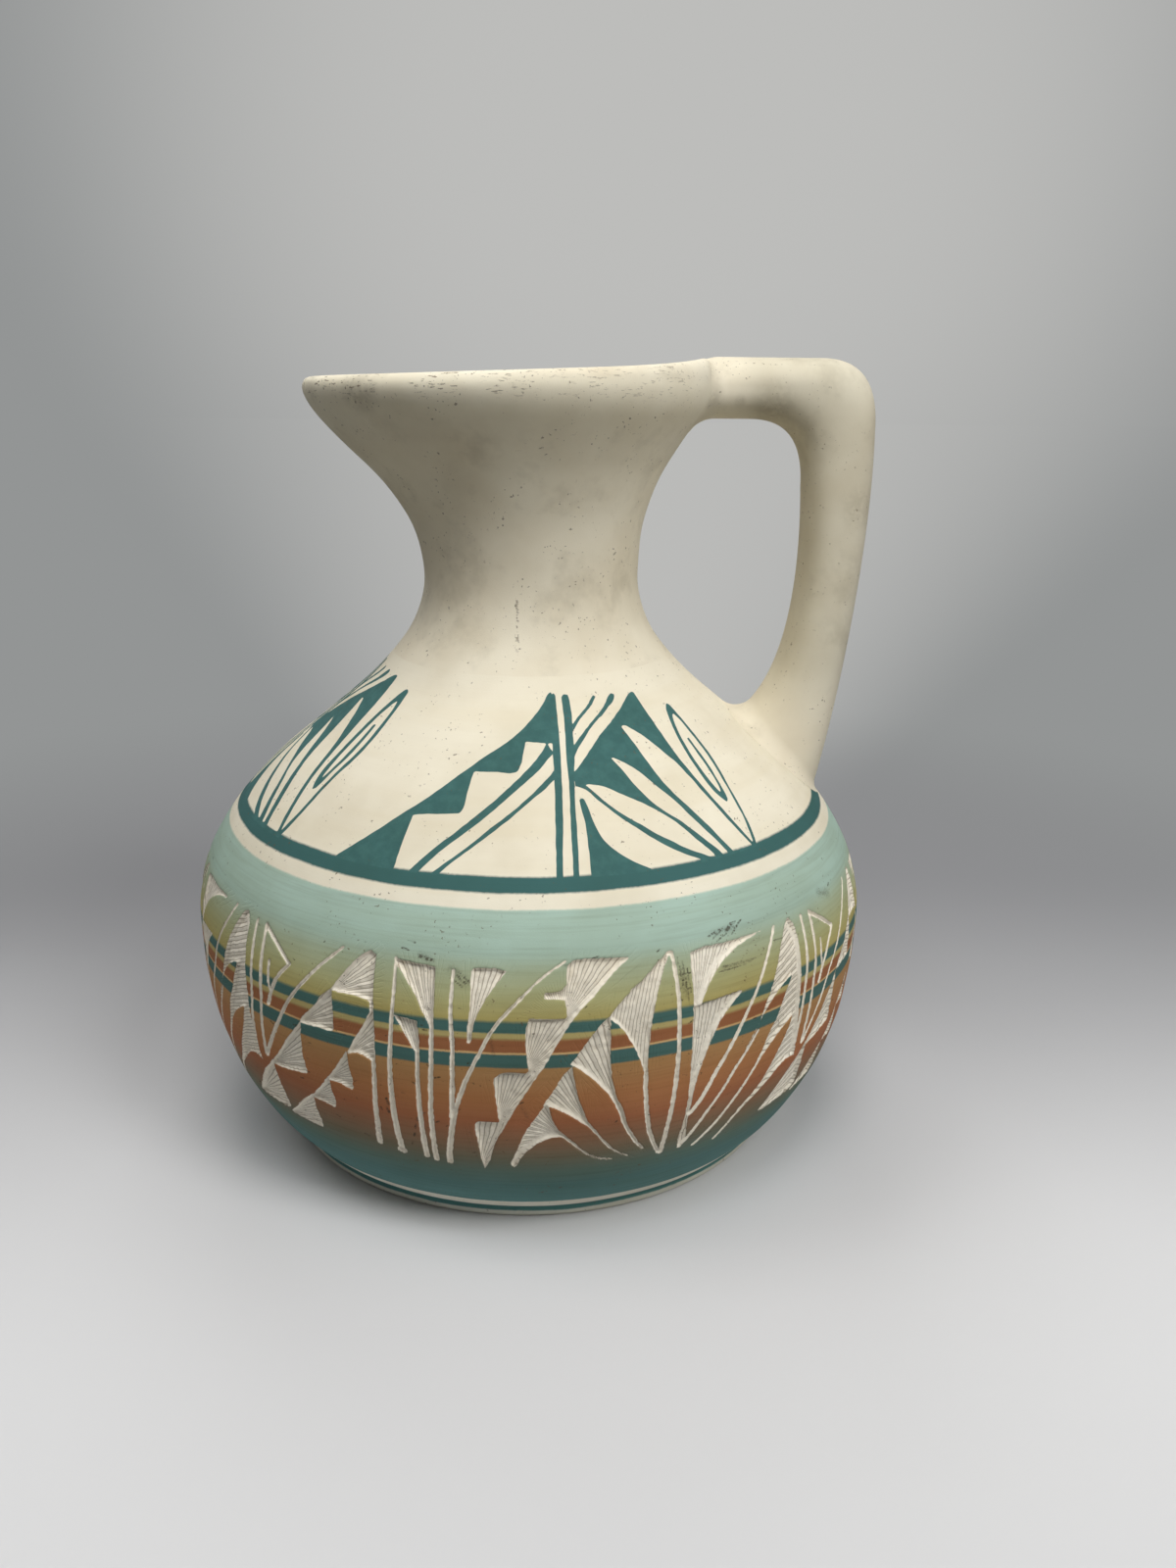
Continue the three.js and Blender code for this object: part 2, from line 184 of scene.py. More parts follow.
fine = np.linspace(0, 1, line_points)
foot_corner = np.array([foot_radius + foot_rounding, foot_rounding])
spread, rise = belly_radius - foot_corner[0], belly_height - foot_corner[1]
climb = throat_height - belly_height
underside = bezier(
    foot_corner,
    foot_corner + (spread * underside_reach, rise * underside_rise),
    (belly_radius, belly_height - rise * belly_fullness),
    (belly_radius, belly_height),
    fine,
)
shoulder_line = bezier(
    (belly_radius, belly_height),
    (belly_radius, belly_height + climb * shoulder_fullness),
    (throat_radius, throat_height - climb * throat_fullness),
    (throat_radius, throat_height),
    fine,
)
body_line = np.concatenate([underside, shoulder_line[1:]])
print("body line from", body_line[0], "to", body_line[-1], "mm")

# %% [markdown]
# The mouth opens evenly all round but for the spout, which two fingers pulled out of the soft
# rim. A sculpted mesh could be pushed out there by hand. Here the rim's radius is a function of
# the turn angle whose sharp power keeps the pull to one side, and the trumpet follows it down to
# the throat.

# %% The trumpet of the neck, pulled into a spout
rim_radius, spout_reach, spout_sharpness = 51.5, 11.3, 5
rim_height, rim_rise = 219.8, 1.8
lip_thickness, lip_height = 7.0, 6.3
flare_fullness, flare_inset, spout_inset, flare_drop = 0.5, 11.0, 7.6, 15.2
rim_lift, rim_lift_spread = 2.3, np.radians(40)
swell_height = rim_height - lip_height


def rim_edge(turn):
    """Radius of the lip, and how far inside it the flare's third handle lies.

    Each goes from its plain value to the spout's by the share ((1 - cos turn) / 2) ^ sharpness.
    """
    pull = ((1 - np.cos(turn)) / 2) ** spout_sharpness
    return rim_radius + spout_reach * pull, flare_inset + (spout_inset - flare_inset) * pull


def rim_top(turn):
    """Height of the lip: level + rise * cos turn + lift * exp(-(turn / spread) ^ 2)."""
    away = (turn + np.pi) % (2 * np.pi) - np.pi
    swell = rim_lift * np.exp(-(away / rim_lift_spread) ** 2)
    return rim_height + rim_rise * np.cos(turn) + swell


flare_climb = swell_height - throat_height
flare_heights = (throat_height, throat_height + flare_climb * flare_fullness,
                 swell_height - flare_drop, swell_height)
flare_z = bezier(*[(h,) for h in flare_heights], fine)[:, 0]


def outer_radius(z, turn):
    """Radius of the outer skin at a height and a turn angle, read off the two lines."""
    z, turn = np.broadcast_arrays(z, turn)
    edge, inset = rim_edge(turn)
    t = np.interp(z, flare_z, fine)
    straight = ((1 - t) ** 3 + 3 * (1 - t) ** 2 * t) * throat_radius
    flared = straight + 3 * (1 - t) * t ** 2 * (edge - inset) + t ** 3 * edge
    return np.where(z > throat_height, flared, np.interp(z, body_line[:, 1], body_line[:, 0]))


print("radius at z = 100:", outer_radius(100.0, 0.0))
print("radius at the spout:", outer_radius(swell_height, np.pi))

# %% [markdown]
# A point of the wall is a height, a turn angle and a depth under the outer skin. Depth is taken
# along the slope of the profile, not straight towards the axis, so a groove cut into the
# underside is as deep as one cut into the widest ring. The same function gives the inner wall, at
# the clay's thickness.

# %% A point of the wall
slope_step = 0.2
body_wall, neck_wall, wall_thins = 6.0, 5.5, (150.0, 175.0)
thin_ridge, thin_drift, thin_depth = 2.3, 1.6, 0.05
broad_ridge, broad_drift, broad_depth = 5.1, 2.2, 0.06
drift_start = 0.6


def wall_point(z, turn, depth=0.0):
    """The skin's point moved in by depth along its slope; x and y are radius * cos and sin."""
    z, turn, depth = np.broadcast_arrays(z, turn, depth)
    above, below = outer_radius(z + slope_step, turn), outer_radius(z - slope_step, turn)
    slope = (above - below) / (2 * slope_step)
    length = np.sqrt(1 + slope ** 2)
    radius = outer_radius(z, turn) - depth / length
    return np.stack([radius * np.cos(turn), radius * np.sin(turn),
                     z + depth * slope / length], axis=-1)


def wall_thickness(z):
    """The clay thins evenly from the body's wall to the neck's between the throat and the flare."""
    return np.interp(z, wall_thins, (body_wall, neck_wall))


def throwing(z, turn):
    """Depth of the throwing ridges: depth * (1 + sin(z / ridge + drift)), summed over two waves."""
    first = np.sin(z / thin_ridge + thin_drift * np.sin(turn))
    second = np.sin(z / broad_ridge - broad_drift * np.cos(turn + drift_start))
    return thin_depth * (1 + first) + broad_depth * (1 + second)


def turns(columns):
    """Turn angles of the columns, from the handle round by the back: number * 2 pi / columns."""
    return np.arange(columns) * 2 * np.pi / columns


print("wall at the belly:", wall_thickness(60.0), "mm, at the rim:", wall_thickness(200.0), "mm")

# %% [markdown]
# ## Drawing on a round wall
# The ornament could be painted as a picture and wrapped round the body, but a picture has pixels
# and a wall has none. Here each cut or brush mark is an outline in turn degrees and height. For
# each point of the wall's grid the distance to that outline is worked out in millimetres,
# positive inside. One number then serves twice: the mesh sinks where it is positive, and the
# material changes there.

# %% Smooth lines through drawn points
mm_per_turn_degree = 1.6
corner_turn = np.cos(np.radians(40))
tiny = 1e-9


def eased(values):
    """0 below 0, 1 above 1, and 3 v^2 - 2 v^3 between."""
    v = np.clip(values, 0, 1)
    return v * v * (3 - 2 * v)


def unit(vectors):
    """Each vector over its own length."""
    return vectors / np.maximum(np.linalg.norm(vectors, axis=-1, keepdims=True), tiny)


def drawn(points, closed=True, steps=3):
    """A smooth line through drawn points that keeps its sharp corners.

    Between two points it is a Hermite curve whose ends follow the mean direction of the neighbours;
    where the line turns by more than the corner angle, both sides run straight into the corner.
    """
    scale = np.array([mm_per_turn_degree, 1.0])
    p = np.array(points, dtype=float).reshape(-1, 2) * scale
    after = np.roll(p, -1, axis=0)
    out = unit(after - p)
    into = np.roll(out, 1, axis=0)
    smooth = (out * into).sum(axis=1) > corner_turn
    if not closed:
        smooth[[0, -1]] = False
    mean = unit(out + into)
    length = np.linalg.norm(after - p, axis=1)[:, None]
    leave = np.where(smooth[:, None], mean, out) * length
    arrive = np.where(np.roll(smooth, -1)[:, None], np.roll(mean, -1, axis=0), out) * length
    if not closed:
        p, after, leave, arrive = p[:-1], after[:-1], leave[:-1], arrive[:-1]
    t = (np.arange(steps) / steps)[None, :, None]
    p, after, leave, arrive = (a[:, None, :] for a in (p, after, leave, arrive))
    curve = ((2 * t ** 3 - 3 * t ** 2 + 1) * p + (t ** 3 - 2 * t ** 2 + t) * leave
             + (3 * t ** 2 - 2 * t ** 3) * after + (t ** 3 - t ** 2) * arrive).reshape(-1, 2)
    end = curve[:1] if closed else np.array(points, dtype=float).reshape(-1, 2)[-1:] * scale
    return np.concatenate([curve, end]) / scale


print("a drawn square has", len(drawn([0, 0, 1, 0, 1, 1, 0, 1])), "points and keeps its corners")

# %% [markdown]
# A wall that curves both ways has no flat plan, but a level strip of it nearly has: its arc
# length runs up, and each row has its own millimetres per degree. Distances are measured there. A
# line as wide as a tool's tip is a stroke, and a scraped place is an area.

# %% Distances on the unrolled wall
def sheet(turn_degrees, heights):
    """The flat sheet that a strip of wall unrolls to: arc length is the sum of hypot(dr, dz)."""
    heights = np.asarray(heights, dtype=float)
    radius = outer_radius(heights, -np.pi / 2)
    steps = np.hypot(np.diff(radius), np.diff(heights))
    return {"turn": turn_degrees, "z": heights, "scale": radius * np.pi / 180,
            "arc": np.concatenate([[0], np.cumsum(steps)])}


def part_of(on, line, margin=2.0):
    """The rows and columns of a sheet that a drawn line can reach."""
    low, high = line.min(axis=0) - margin, line.max(axis=0) + margin
    columns = slice(*np.searchsorted(on["turn"], (low[0], high[0])))
    rows = slice(*np.searchsorted(on["z"], (low[1], high[1])))
    return rows, columns


def from_line(on, rows, columns, line):
    """Distance in mm from each sheet point to a line, how far along it, and whether inside.

    The nearest point of each straight piece is start + t * (end - start), with t kept between 0
    and 1; a point is inside when a level ray from it crosses the line an odd number of times.
    """
    x = on["turn"][columns][None, :, None]
    y = on["arc"][rows][:, None, None]
    k = on["scale"][rows][:, None, None]
    line_arc = np.interp(line[:, 1], on["z"], on["arc"])
    ax, ay, bx, by = line[:-1, 0], line_arc[:-1], line[1:, 0], line_arc[1:]
    dx, dy = (bx - ax) * k, by - ay
    qx, qy = (x - ax) * k, y - ay
    t = np.clip((qx * dx + qy * dy) / np.maximum(dx ** 2 + dy ** 2, tiny), 0, 1)
    squared = (qx - t * dx) ** 2 + (qy - t * dy) ** 2
    nearest = squared.argmin(axis=-1)[..., None]
    share = np.concatenate([[0], np.cumsum(np.hypot((bx - ax) * mm_per_turn_degree, dy))])
    share = share / share[-1]
    step = share[nearest + 1] - share[nearest]
    along = share[nearest] + np.take_along_axis(t, nearest, -1) * step
    level = (ay > y) != (by > y)
    crossed = level & (x < ax + (y - ay) / np.where(by == ay, 1, by - ay) * (bx - ax))
    inside = crossed.sum(axis=-1) % 2 == 1
    return np.sqrt(squared.min(axis=-1)), along[..., 0], inside


def area(on, points):
    """Signed distance to a closed outline: (rows, columns, distance), positive inside."""
    line = drawn(points)
    rows, columns = part_of(on, line)
    distance, _, inside = from_line(on, rows, columns, line)
    return rows, columns, np.where(inside, distance, -distance)


def stroke(on, points, start, end):
    """Signed distance to a stroke: half its width, which runs from start to end, less distance."""
    line = drawn(points, closed=False)
    rows, columns = part_of(on, line)
    distance, along, _ = from_line(on, rows, columns, line)
    return rows, columns, (start + (end - start) * along) / 2 - distance


print("the front is", round(90 * mm_per_turn_degree), "mm round from the handle at the shoulder")

# %% [markdown]
# ## The carved frieze
# The carver scraped whole feathers and steps down to the bare clay and drew the long stems with a
# pointed tool. Each scrape left fine ribs that fan out from the feather's tip. One group of
# motifs spans 94 degrees and is repeated; the group at the back is squeezed a little to close the
# ring. The outlines below were drawn over a ruled sheet: turn in degrees (the front is -90),
# height in millimetres. Before each stands how its ribs run: a fan has the degrees between
# ribs and then its tip, a rake has an angle and a pitch, and an edge has its line and a pitch.

# %% Feathers and steps of one group
frieze_areas = {
    "tailed feather": (("rake", 22, 1.0), [
        -46.2, 84.4, -45.3, 82.5, -45, 78, -44.9, 71, -44.7, 62, -44.4, 54, -44, 48, -43.6, 43,
        -45.5, 43.6, -47, 43, -49, 40.6, -51, 37.8, -53, 35.2, -54.4, 33.6, -53.4, 36.4, -51.5,
        40.6, -50.3, 44, -49, 47.5, -47, 54, -46.3, 57.6, -48, 56, -50, 53.4, -51.8, 50.4, -53.6,
        46.6, -54.8, 44, -53.9, 47.4, -52.8, 51, -51.6, 56, -50, 60.5, -48.9, 65, -47.3, 70, -49,
        68.8, -51, 66.5, -52.5, 64, -54, 60.8, -55.2, 57.6, -56.5, 53.5, -58, 49.3, -59.4, 45.6,
        -60.6, 42.4, -59.6, 45.6, -58.4, 48.8, -57.2, 51.6, -55.5, 56, -54.3, 60, -53.3, 64, -52,
        69, -51, 73, -49.5, 78, -48, 82, -47, 84]),
    "upper curled feather": (("fan", 3.6, -66.2, 69), [
        -66.5, 83.5, -65, 84, -60, 84, -53, 84, -55, 83.3, -57, 82.7, -59, 81.5, -61, 79.8, -63,
        76.8, -64.3, 74, -65, 71.8, -65.3, 70.3, -66.5, 70.3, -66.6, 76]),
    "lower curled feather": (("fan", 2.8, -66.1, 44), [
        -66.6, 70, -64, 70.7, -60, 71.2, -58, 71.2, -58.3, 70.7, -60, 68.3, -61.5, 65.5, -63, 61,
        -64, 56.5, -65, 50.5, -65.5, 45, -65.6, 40, -65.5, 33, -65.1, 29, -65.3, 26.5, -66, 26,
        -66.5, 28, -66.4, 33, -66.3, 40, -66.4, 50, -66.6, 60]),
    "tall feather": (("edge", [
        -69.2, 26, -71, 31.5, -72.6, 38, -73.3, 48, -73.5, 58, -73.1, 68, -71.6, 78, -70, 84.5],
        0.92), [ -70, 84.5, -72, 82.3, -74, 79.5, -76, 77, -78, 73.8, -79.2, 71.3, -79.2, 70.5,
        -78.2, 69, -77, 66.3, -76, 63, -75, 59.5, -74.3, 56, -74, 54, -73.9, 50, -73.5, 45, -73, 40,
        -72.2, 35, -71.2, 31, -70.2, 28.5, -69.2, 26, -70, 28.8, -71, 31.5, -72, 34.5, -72.6, 38,
        -73, 43, -73.3, 48, -73.4, 54, -73.5, 58, -73.4, 62, -73.1, 68, -72.5, 73, -71.6, 78, -70.7,
        81.5, -70, 83.6]),
    "wing, top": (("fan", 3.2, -76.6, 41), [
        -79.3, 71.2, -80.5, 69.2, -82, 66, -83, 63.5, -84, 61, -84.8, 59, -84, 58.2, -82.5, 56, -81,
        53.3, -79.8, 50.8, -78.8, 48.3, -78, 45.5, -77.3, 42.5, -76.5, 38.8, -75.3, 34.8, -74, 31.5,
        -73, 29.5, -72.5, 29, -72.6, 29.9, -73.6, 32, -74.8, 35.5, -75.8, 38.8, -76.6, 43.3, -77,
        45, -77.8, 47.8, -78.4, 51.5, -78.9, 56, -79.1, 60, -79.1, 69.2]),
    "wing, middle": (("fan", 3.9, -81.3, 38.5), [
        -84.6, 58.3, -86, 55.3, -87, 52, -88, 49, -88.5, 47.3, -87, 46.3, -85, 44.2, -83, 41.5,
        -81.5, 39, -80.5, 36.5, -79.5, 34, -78.5, 31.8, -77, 29.5, -76, 28.2, -75, 27.2, -74.7, 27,
        -75.2, 28, -76.8, 29.8, -78.5, 33, -79.5, 35.2, -80.6, 38.2, -81.8, 41, -82.5, 44, -83.2,
        47.5, -83.8, 51, -84.1, 54, -84.5, 58.4]),
    "wing, foot": (("fan", 5.2, -85.5, 36.6), [
        -88.3, 47.5, -89.5, 44, -90.5, 41, -91.5, 37.5, -92.3, 33.5, -93, 30, -93.5, 28, -93.4,
        26.8, -93, 26.3, -92.5, 27, -92, 29.3, -91.3, 31.5, -90.5, 33.2, -89.5, 34.8, -88, 36.3,
        -87, 36.9, -86.2, 37, -85.7, 36.8, -85, 35.6, -84, 33.8, -83, 32, -82, 30.4, -81, 29, -80,
        28, -79, 27.3, -77.8, 27.1, -77.3, 27.3, -78.5, 27.9, -80, 28.6, -81, 29.7, -82, 31.2, -83,
        33, -84, 35, -85, 37, -86, 38.7, -86.6, 40.5, -87.2, 43, -87.7, 47]),
    "stepped ribbon": (("fan", 4.4, -85.8, 70.6, -91.3, 56.4, -95.4, 41.5, -98.6, 24), [
        -75.8, 84.6, -80, 85, -84.3, 85, -85.2, 83.5, -85.2, 79.5, -86, 78.2, -88.3, 77.8, -88.4,
        76.3, -86, 76, -85.5, 75.8, -85.3, 72, -85.6, 71.3, -90.5, 71.6, -91, 68, -90.9, 62, -90.6,
        57.6, -91, 56.9, -94.3, 56.9, -95.5, 55.3, -95.3, 49, -94.9, 42.2, -98.2, 42, -98.5, 41,
        -98.3, 36, -98, 30, -97.6, 25.4, -96.6, 29, -96.1, 32.5, -95.3, 36.5, -94, 41, -92.5, 46.3,
        -91, 51, -89.6, 55.5, -88.3, 59, -87.4, 62, -86.5, 65, -85.5, 68, -84.6, 70.5, -83.3, 73.5,
        -81.5, 76.3, -79.5, 79.8, -77.5, 82.8]),
    "small curl": (("fan", 4.0, -98.9, 65), [
        -98.7, 82.5, -98.3, 83.2, -95.5, 83.4, -93.6, 82.8, -94.5, 81, -96, 77.5, -97.3, 73.5,
        -98.2, 69.5, -98.5, 65.5, -98.8, 64.6, -99.1, 65, -99, 69, -98.7, 74, -98.7, 79]),
    "hanging feather, long": (("fan", 3.2, -104.1, 66), [
        -110, 83.8, -108, 83.4, -105, 83.2, -103.8, 82.8, -103.8, 76, -103.8, 70, -103.9, 62,
        -104.4, 62, -104.4, 68, -104.5, 68.8, -105.5, 72, -106.5, 75.7, -108, 79, -109.5, 82,
        -109.9, 82.6]),
    "hanging feather, short": (("fan", 4.0, -106.1, 58), [
        -109.8, 70.2, -108, 69.9, -106.2, 69.3, -106, 64, -106, 60, -106.5, 60.5, -107.2, 62.5,
        -108.3, 66, -109.4, 69.2]),
    "pennant, top": (("fan", 4.6, -120.4, 72.2), [
        -113.1, 83.8, -114, 84.6, -115, 83.8, -117, 80.5, -119, 76, -119.8, 73.8, -119.9, 73,
        -118.5, 73, -116, 73.2, -114, 72.6, -113.5, 72.3, -113.5, 70, -112.9, 70, -112.9, 72]),
    "pennant, foot": (("fan", 4.6, -118.1, 55.9), [
        -113.4, 70, -114, 68, -115, 64.5, -116, 62, -117, 59, -117.6, 57, -117.4, 56.8, -116, 57.6,
        -114.5, 57, -113.6, 56.3, -113, 56.5, -112.9, 60, -112.8, 66, -112.9, 70]),
    "first stair, top": (("fan", 4.6, -126.6, 60.9), [
        -119.8, 73.9, -121.5, 71.5, -123, 68, -125, 64.5, -126, 62.5, -126.2, 61.6, -126, 61.4,
        -124, 61.7, -122, 61.8, -120.3, 61.8, -119.7, 62.3, -119.7, 68]),
    "first stair, middle": (("fan", 4.2, -134.9, 43.8), [
        -126, 62, -127.5, 59, -129, 56, -131, 51.5, -133, 47.5, -134.3, 45, -134.3, 44, -132, 44.3,
        -130, 45, -128, 45.5, -126.5, 46, -126.1, 46.6, -126.4, 52, -126.2, 58]),
    "first stair, foot": (("fan", 4.2, -143.9, 27.4), [
        -134.3, 45.5, -136, 42.5, -138, 39.5, -140, 35.5, -142, 31.5, -143.5, 28.5, -143, 28,
        -140, 28.3, -137, 28.6, -134.5, 29, -133.4, 30.5, -133.6, 33, -134, 38, -134.2, 43.5]),
    "second stair, top": (("fan", 5.0, -122.6, 46.2), [
        -117.7, 57.5, -119, 54.2, -120.5, 50.5, -122, 47.5, -121.8, 46.6, -120, 46.9, -118.5, 46,
        -117.6, 45.8, -117.3, 46.6, -117.5, 52, -117.7, 56.5]),
    "second stair, middle": (("fan", 5.0, -126.8, 38.2), [
        -122, 47.6, -123.5, 44.3, -125, 41.5, -126.2, 39.4, -126, 38.6, -124, 38.4, -122.5, 37.8,
        -121.7, 37.9, -121.3, 40.3, -121.6, 44, -121.7, 46.5]),
    "second stair, foot": (("fan", 4.2, -134.5, 27.2), [
        -126.2, 39.5, -128, 37.2, -130, 34.3, -132, 31, -134, 28.3, -133.5, 27.6, -130, 27.7,
        -128, 27.6, -126.5, 27.7, -126, 28.8, -126.2, 34, -126.1, 38.3]),
}
print(len(frieze_areas), "scraped areas in a group")

# %% [markdown]
# The stems are single pulls of a pointed tool, thin where it set in and wider where it was
# pressed. Beside some feathers the tool also left a smooth strip without ribs. A stem could be a
# closed outline like the feathers, but a line with a width at each end is how the hand made it.

# %% Stems and smooth strips: points, first and last width
frieze_strokes = [
    ([-73.7, 54, -73.4, 47, -72.9, 41, -72.1, 35.5, -71.1, 31, -69.7, 26.4], 1.3, 1.2),
    ([-52, 38, -54.2, 34.6, -56.6, 29.9, -58.6, 24.8], 1.2, 1.2),
    ([-53, 48.6, -54.4, 45.1, -56.4, 40.1, -58.7, 34.2, -61.2, 28.8, -63, 25.4], 1.0, 1.2),
    ([-54.4, 57.8, -56.2, 53, -57.9, 48.9, -59.7, 43.8, -61.4, 39.4, -62.9, 35, -65, 28.9, -65.9,
      26.4],
     0.8, 1.3),
    ([-50, 83.9, -53.9, 73.8, -57.9, 61.5, -61.8, 49.5, -65.2, 38.8, -65.8, 38], 0.9, 1.5),
    ([-70, 84.2, -69.4, 84.2, -69, 76, -68.8, 66, -68.7, 54, -68.9, 42, -69.2, 30, -69.2, 25.9],
      1.1, 1.4),
    ([-85.3, 84.8, -88.5, 81.5, -92.5, 75, -95, 70, -97.4, 62.3, -99.3, 55, -101, 46.5, -102, 39,
      -102.8, 31, -103.1, 26.9], 0.5, 1.7),
    ([-101.2, 82.4, -101.4, 72, -101.2, 64, -101.4, 54, -101.8, 43], 0.9, 1.4),
    ([-104.1, 70, -104.3, 60, -104.8, 48, -105.1, 38, -105.2, 27.3], 1.2, 1.6),
    ([-109.9, 83.8, -109.8, 76, -110.2, 66, -110.7, 56, -110.9, 46, -110.9, 36, -110.8, 28.8], 0.8,
      1.9),
    ([-111, 28.8, -110.7, 28.6], 2.3, 2.3),
    ([-106.3, 61, -106.6, 50, -106.7, 38, -106.7, 28.2], 1.1, 1.6),
    ([-113.1, 70, -113.2, 58, -113.6, 48, -114.1, 38, -114.6, 29.8], 1.0, 1.7),
    ([-118.7, 84, -122, 78.9, -126.5, 70.5, -128.8, 65.3, -131, 59, -133.2, 52.8, -135.6, 46.3],
      0.8, 1.4),
    ([-134.6, 83.2, -134.6, 76, -134.7, 70, -135, 63, -135.5, 54, -135.9, 46.2], 1.2, 1.5),
    ([-134.6, 83.2, -131.5, 80, -128.4, 76.3], 1.3, 1.3),
    ([-128.2, 76.3, -130.4, 72.3, -132, 67.6, -133.1, 63], 1.0, 1.5),
    ([-132.7, 75, -132.8, 70, -132.4, 66.8], 1.0, 1.0),
    ([-137.1, 83.3, -137.1, 76, -137.2, 70, -137.5, 63, -138, 54, -138.4, 45.5], 1.1, 1.5),
]
smooth_strips = [
    ([-97, 25.6, -96, 31, -95, 36.5, -93.5, 41.5, -92, 46.8, -90.4, 51.5, -88.9, 56, -87.6, 60,
      -86.7, 63, -85.8, 66, -84.8, 69, -83.8, 71.6, -82.4, 74.2, -80.6, 77.2, -78.6, 80.4, -76.4,
      83.6], 1.5, 2.4),
    ([-84.8, 59, -82.9, 57, -80.2, 52.1, -79, 49, -78.1, 45.8, -77, 41, -75.6, 36.6, -73.4, 30.8],
      1.3, 1.0),
    ([-88.2, 47.5, -86.6, 46.3, -84.6, 44.3, -82.6, 41.6, -81, 38.8, -79.4, 35, -77.6, 31.2], 1.3,
      1.0),
    ([-93.2, 27, -92, 31.4, -90.4, 34.4, -88.2, 36.8, -86.3, 37.4, -84.9, 36.2, -83.4, 33.4], 1.1,
      1.0),
    ([-79, 70.2, -77.2, 67, -76.2, 63.8, -75.2, 60, -74.4, 56], 1.3, 1.0),
    ([-53.6, 83.8, -57, 83.1, -59.6, 81.9, -61.6, 80.3, -63.4, 77.5, -64.8, 74, -65.4, 71], 1.6,
      1.1),
    ([-58.6, 70.8, -60.6, 68.4, -62.2, 65.4, -63.6, 61, -64.6, 56, -65.3, 50, -65.7, 44], 1.5, 1.0),
    ([-46.8, 83, -45.4, 79, -45.2, 71, -45, 62, -44.7, 54, -44.3, 46], 1.1, 1.1),
    ([-119.6, 74.2, -117.6, 78.8, -115.2, 82.8, -113.6, 84], 1.2, 1.0),
    ([-117.4, 57.6, -115.6, 62.4, -114.3, 67.4, -113.6, 70], 1.2, 1.0),
    ([-126, 62.2, -123, 67.4, -121, 71, -119.8, 73.6], 1.2, 1.0),
    ([-134.2, 45, -132.2, 49, -130, 53.6, -127.4, 58.8, -126.2, 61.6], 1.2, 1.0),
    ([-143.2, 28.6, -140.6, 33.6, -137.6, 39.4, -134.6, 44.6], 1.2, 1.0),
    ([-121.8, 47.4, -120.2, 50.6, -118.6, 54.6, -117.8, 57], 1.2, 1.0),
    ([-126, 39.6, -124.4, 42, -122.6, 45.6], 1.2, 1.0),
    ([-133.6, 28.2, -131, 31.6, -128.6, 35.4, -126.4, 38.8], 1.2, 1.0),
]
group_span = (-146.0, -41.0)
group_period = 94.0
front_groups = (0.0, -group_period, group_period)
back_group_start, back_group_period = 50.0, 78.0
group_start = -138.0
print(len(frieze_strokes), "stems in a group, repeated every", group_period, "degrees")

# %% [markdown]
# Where shapes overlap, each grid point keeps the one that it lies deepest in, with that shape's
# ribs. The ribs are a count that grows across the shape: the colour has a dark line at each
# whole number, and the wall a furrow at every second one. An even count looks machined, so a
# little blurred noise makes the ribs wander as the hand did.

# %% Noise and rib counts
outside = -3.0
rib_wander, rib_seed, rib_blur = 0.05, 5, 6


def grain(shape, seed, blur):
    """Random numbers blurred with (1, 2, 1) / 4 along both directions, over their own spread."""
    noise = np.random.default_rng(seed).normal(size=shape)
    for _ in range(blur):
        for axis in (0, 1):
            noise = (np.roll(noise, 1, axis) + 2 * noise + np.roll(noise, -1, axis)) / 4
    return noise / noise.std()


def rib_phase(on, rows, columns, how):
    """Counts ribs across an area: by angle round a tip, across a slanted rake, or out from an edge.

    A stack of fans has its tips listed from the top; each point counts round the next tip below it.
    """
    x = on["turn"][columns][None, :]
    y, k = on["arc"][rows][:, None], on["scale"][rows][:, None]
    if how[0] == "fan":
        every, tips = how[1], np.reshape(how[2:], (-1, 2))
        below = (on["z"][rows][:, None] < tips[:-1, 1]).sum(axis=1)
        tip_turn, tip_z = tips[below, 0][:, None], tips[below, 1][:, None]
        rise = y - np.interp(tip_z, on["z"], on["arc"])
        return np.degrees(np.arctan2((x - tip_turn) * k, rise)) / every
    if how[0] == "rake":
        _, angle, pitch = how
        lean = np.radians(angle)
        return (y * np.cos(lean) - x * k * np.sin(lean)) / pitch
    _, edge, pitch = how
    return from_line(on, rows, columns, drawn(edge, closed=False))[0] / pitch


print("ribs wander by", rib_wander, "of their pitch")

# %% Work out one group on its sheet
belly_low, belly_high, belly_rows, belly_columns = 22.0, 88.0, 180, 1800
belly_z = np.linspace(belly_low, belly_high, belly_rows + 1)
belly_turn = turns(belly_columns)
strip_edge = 0.4


def blank_fields(shape):
    """Nothing drawn yet: outside every cut, no ribs counted and none there."""
    return {"carved": np.full(shape, outside), "phase": np.zeros(shape), "ribbed": np.zeros(shape)}


def keep_better(fields, part, carved, **others):
    """Where a shape's distance beats the one that is there, it moves in with what it brings."""
    better = carved > fields["carved"][part]
    for field, values in {"carved": carved, **others}.items():
        fields[field][part] = np.where(better, values, fields[field][part])


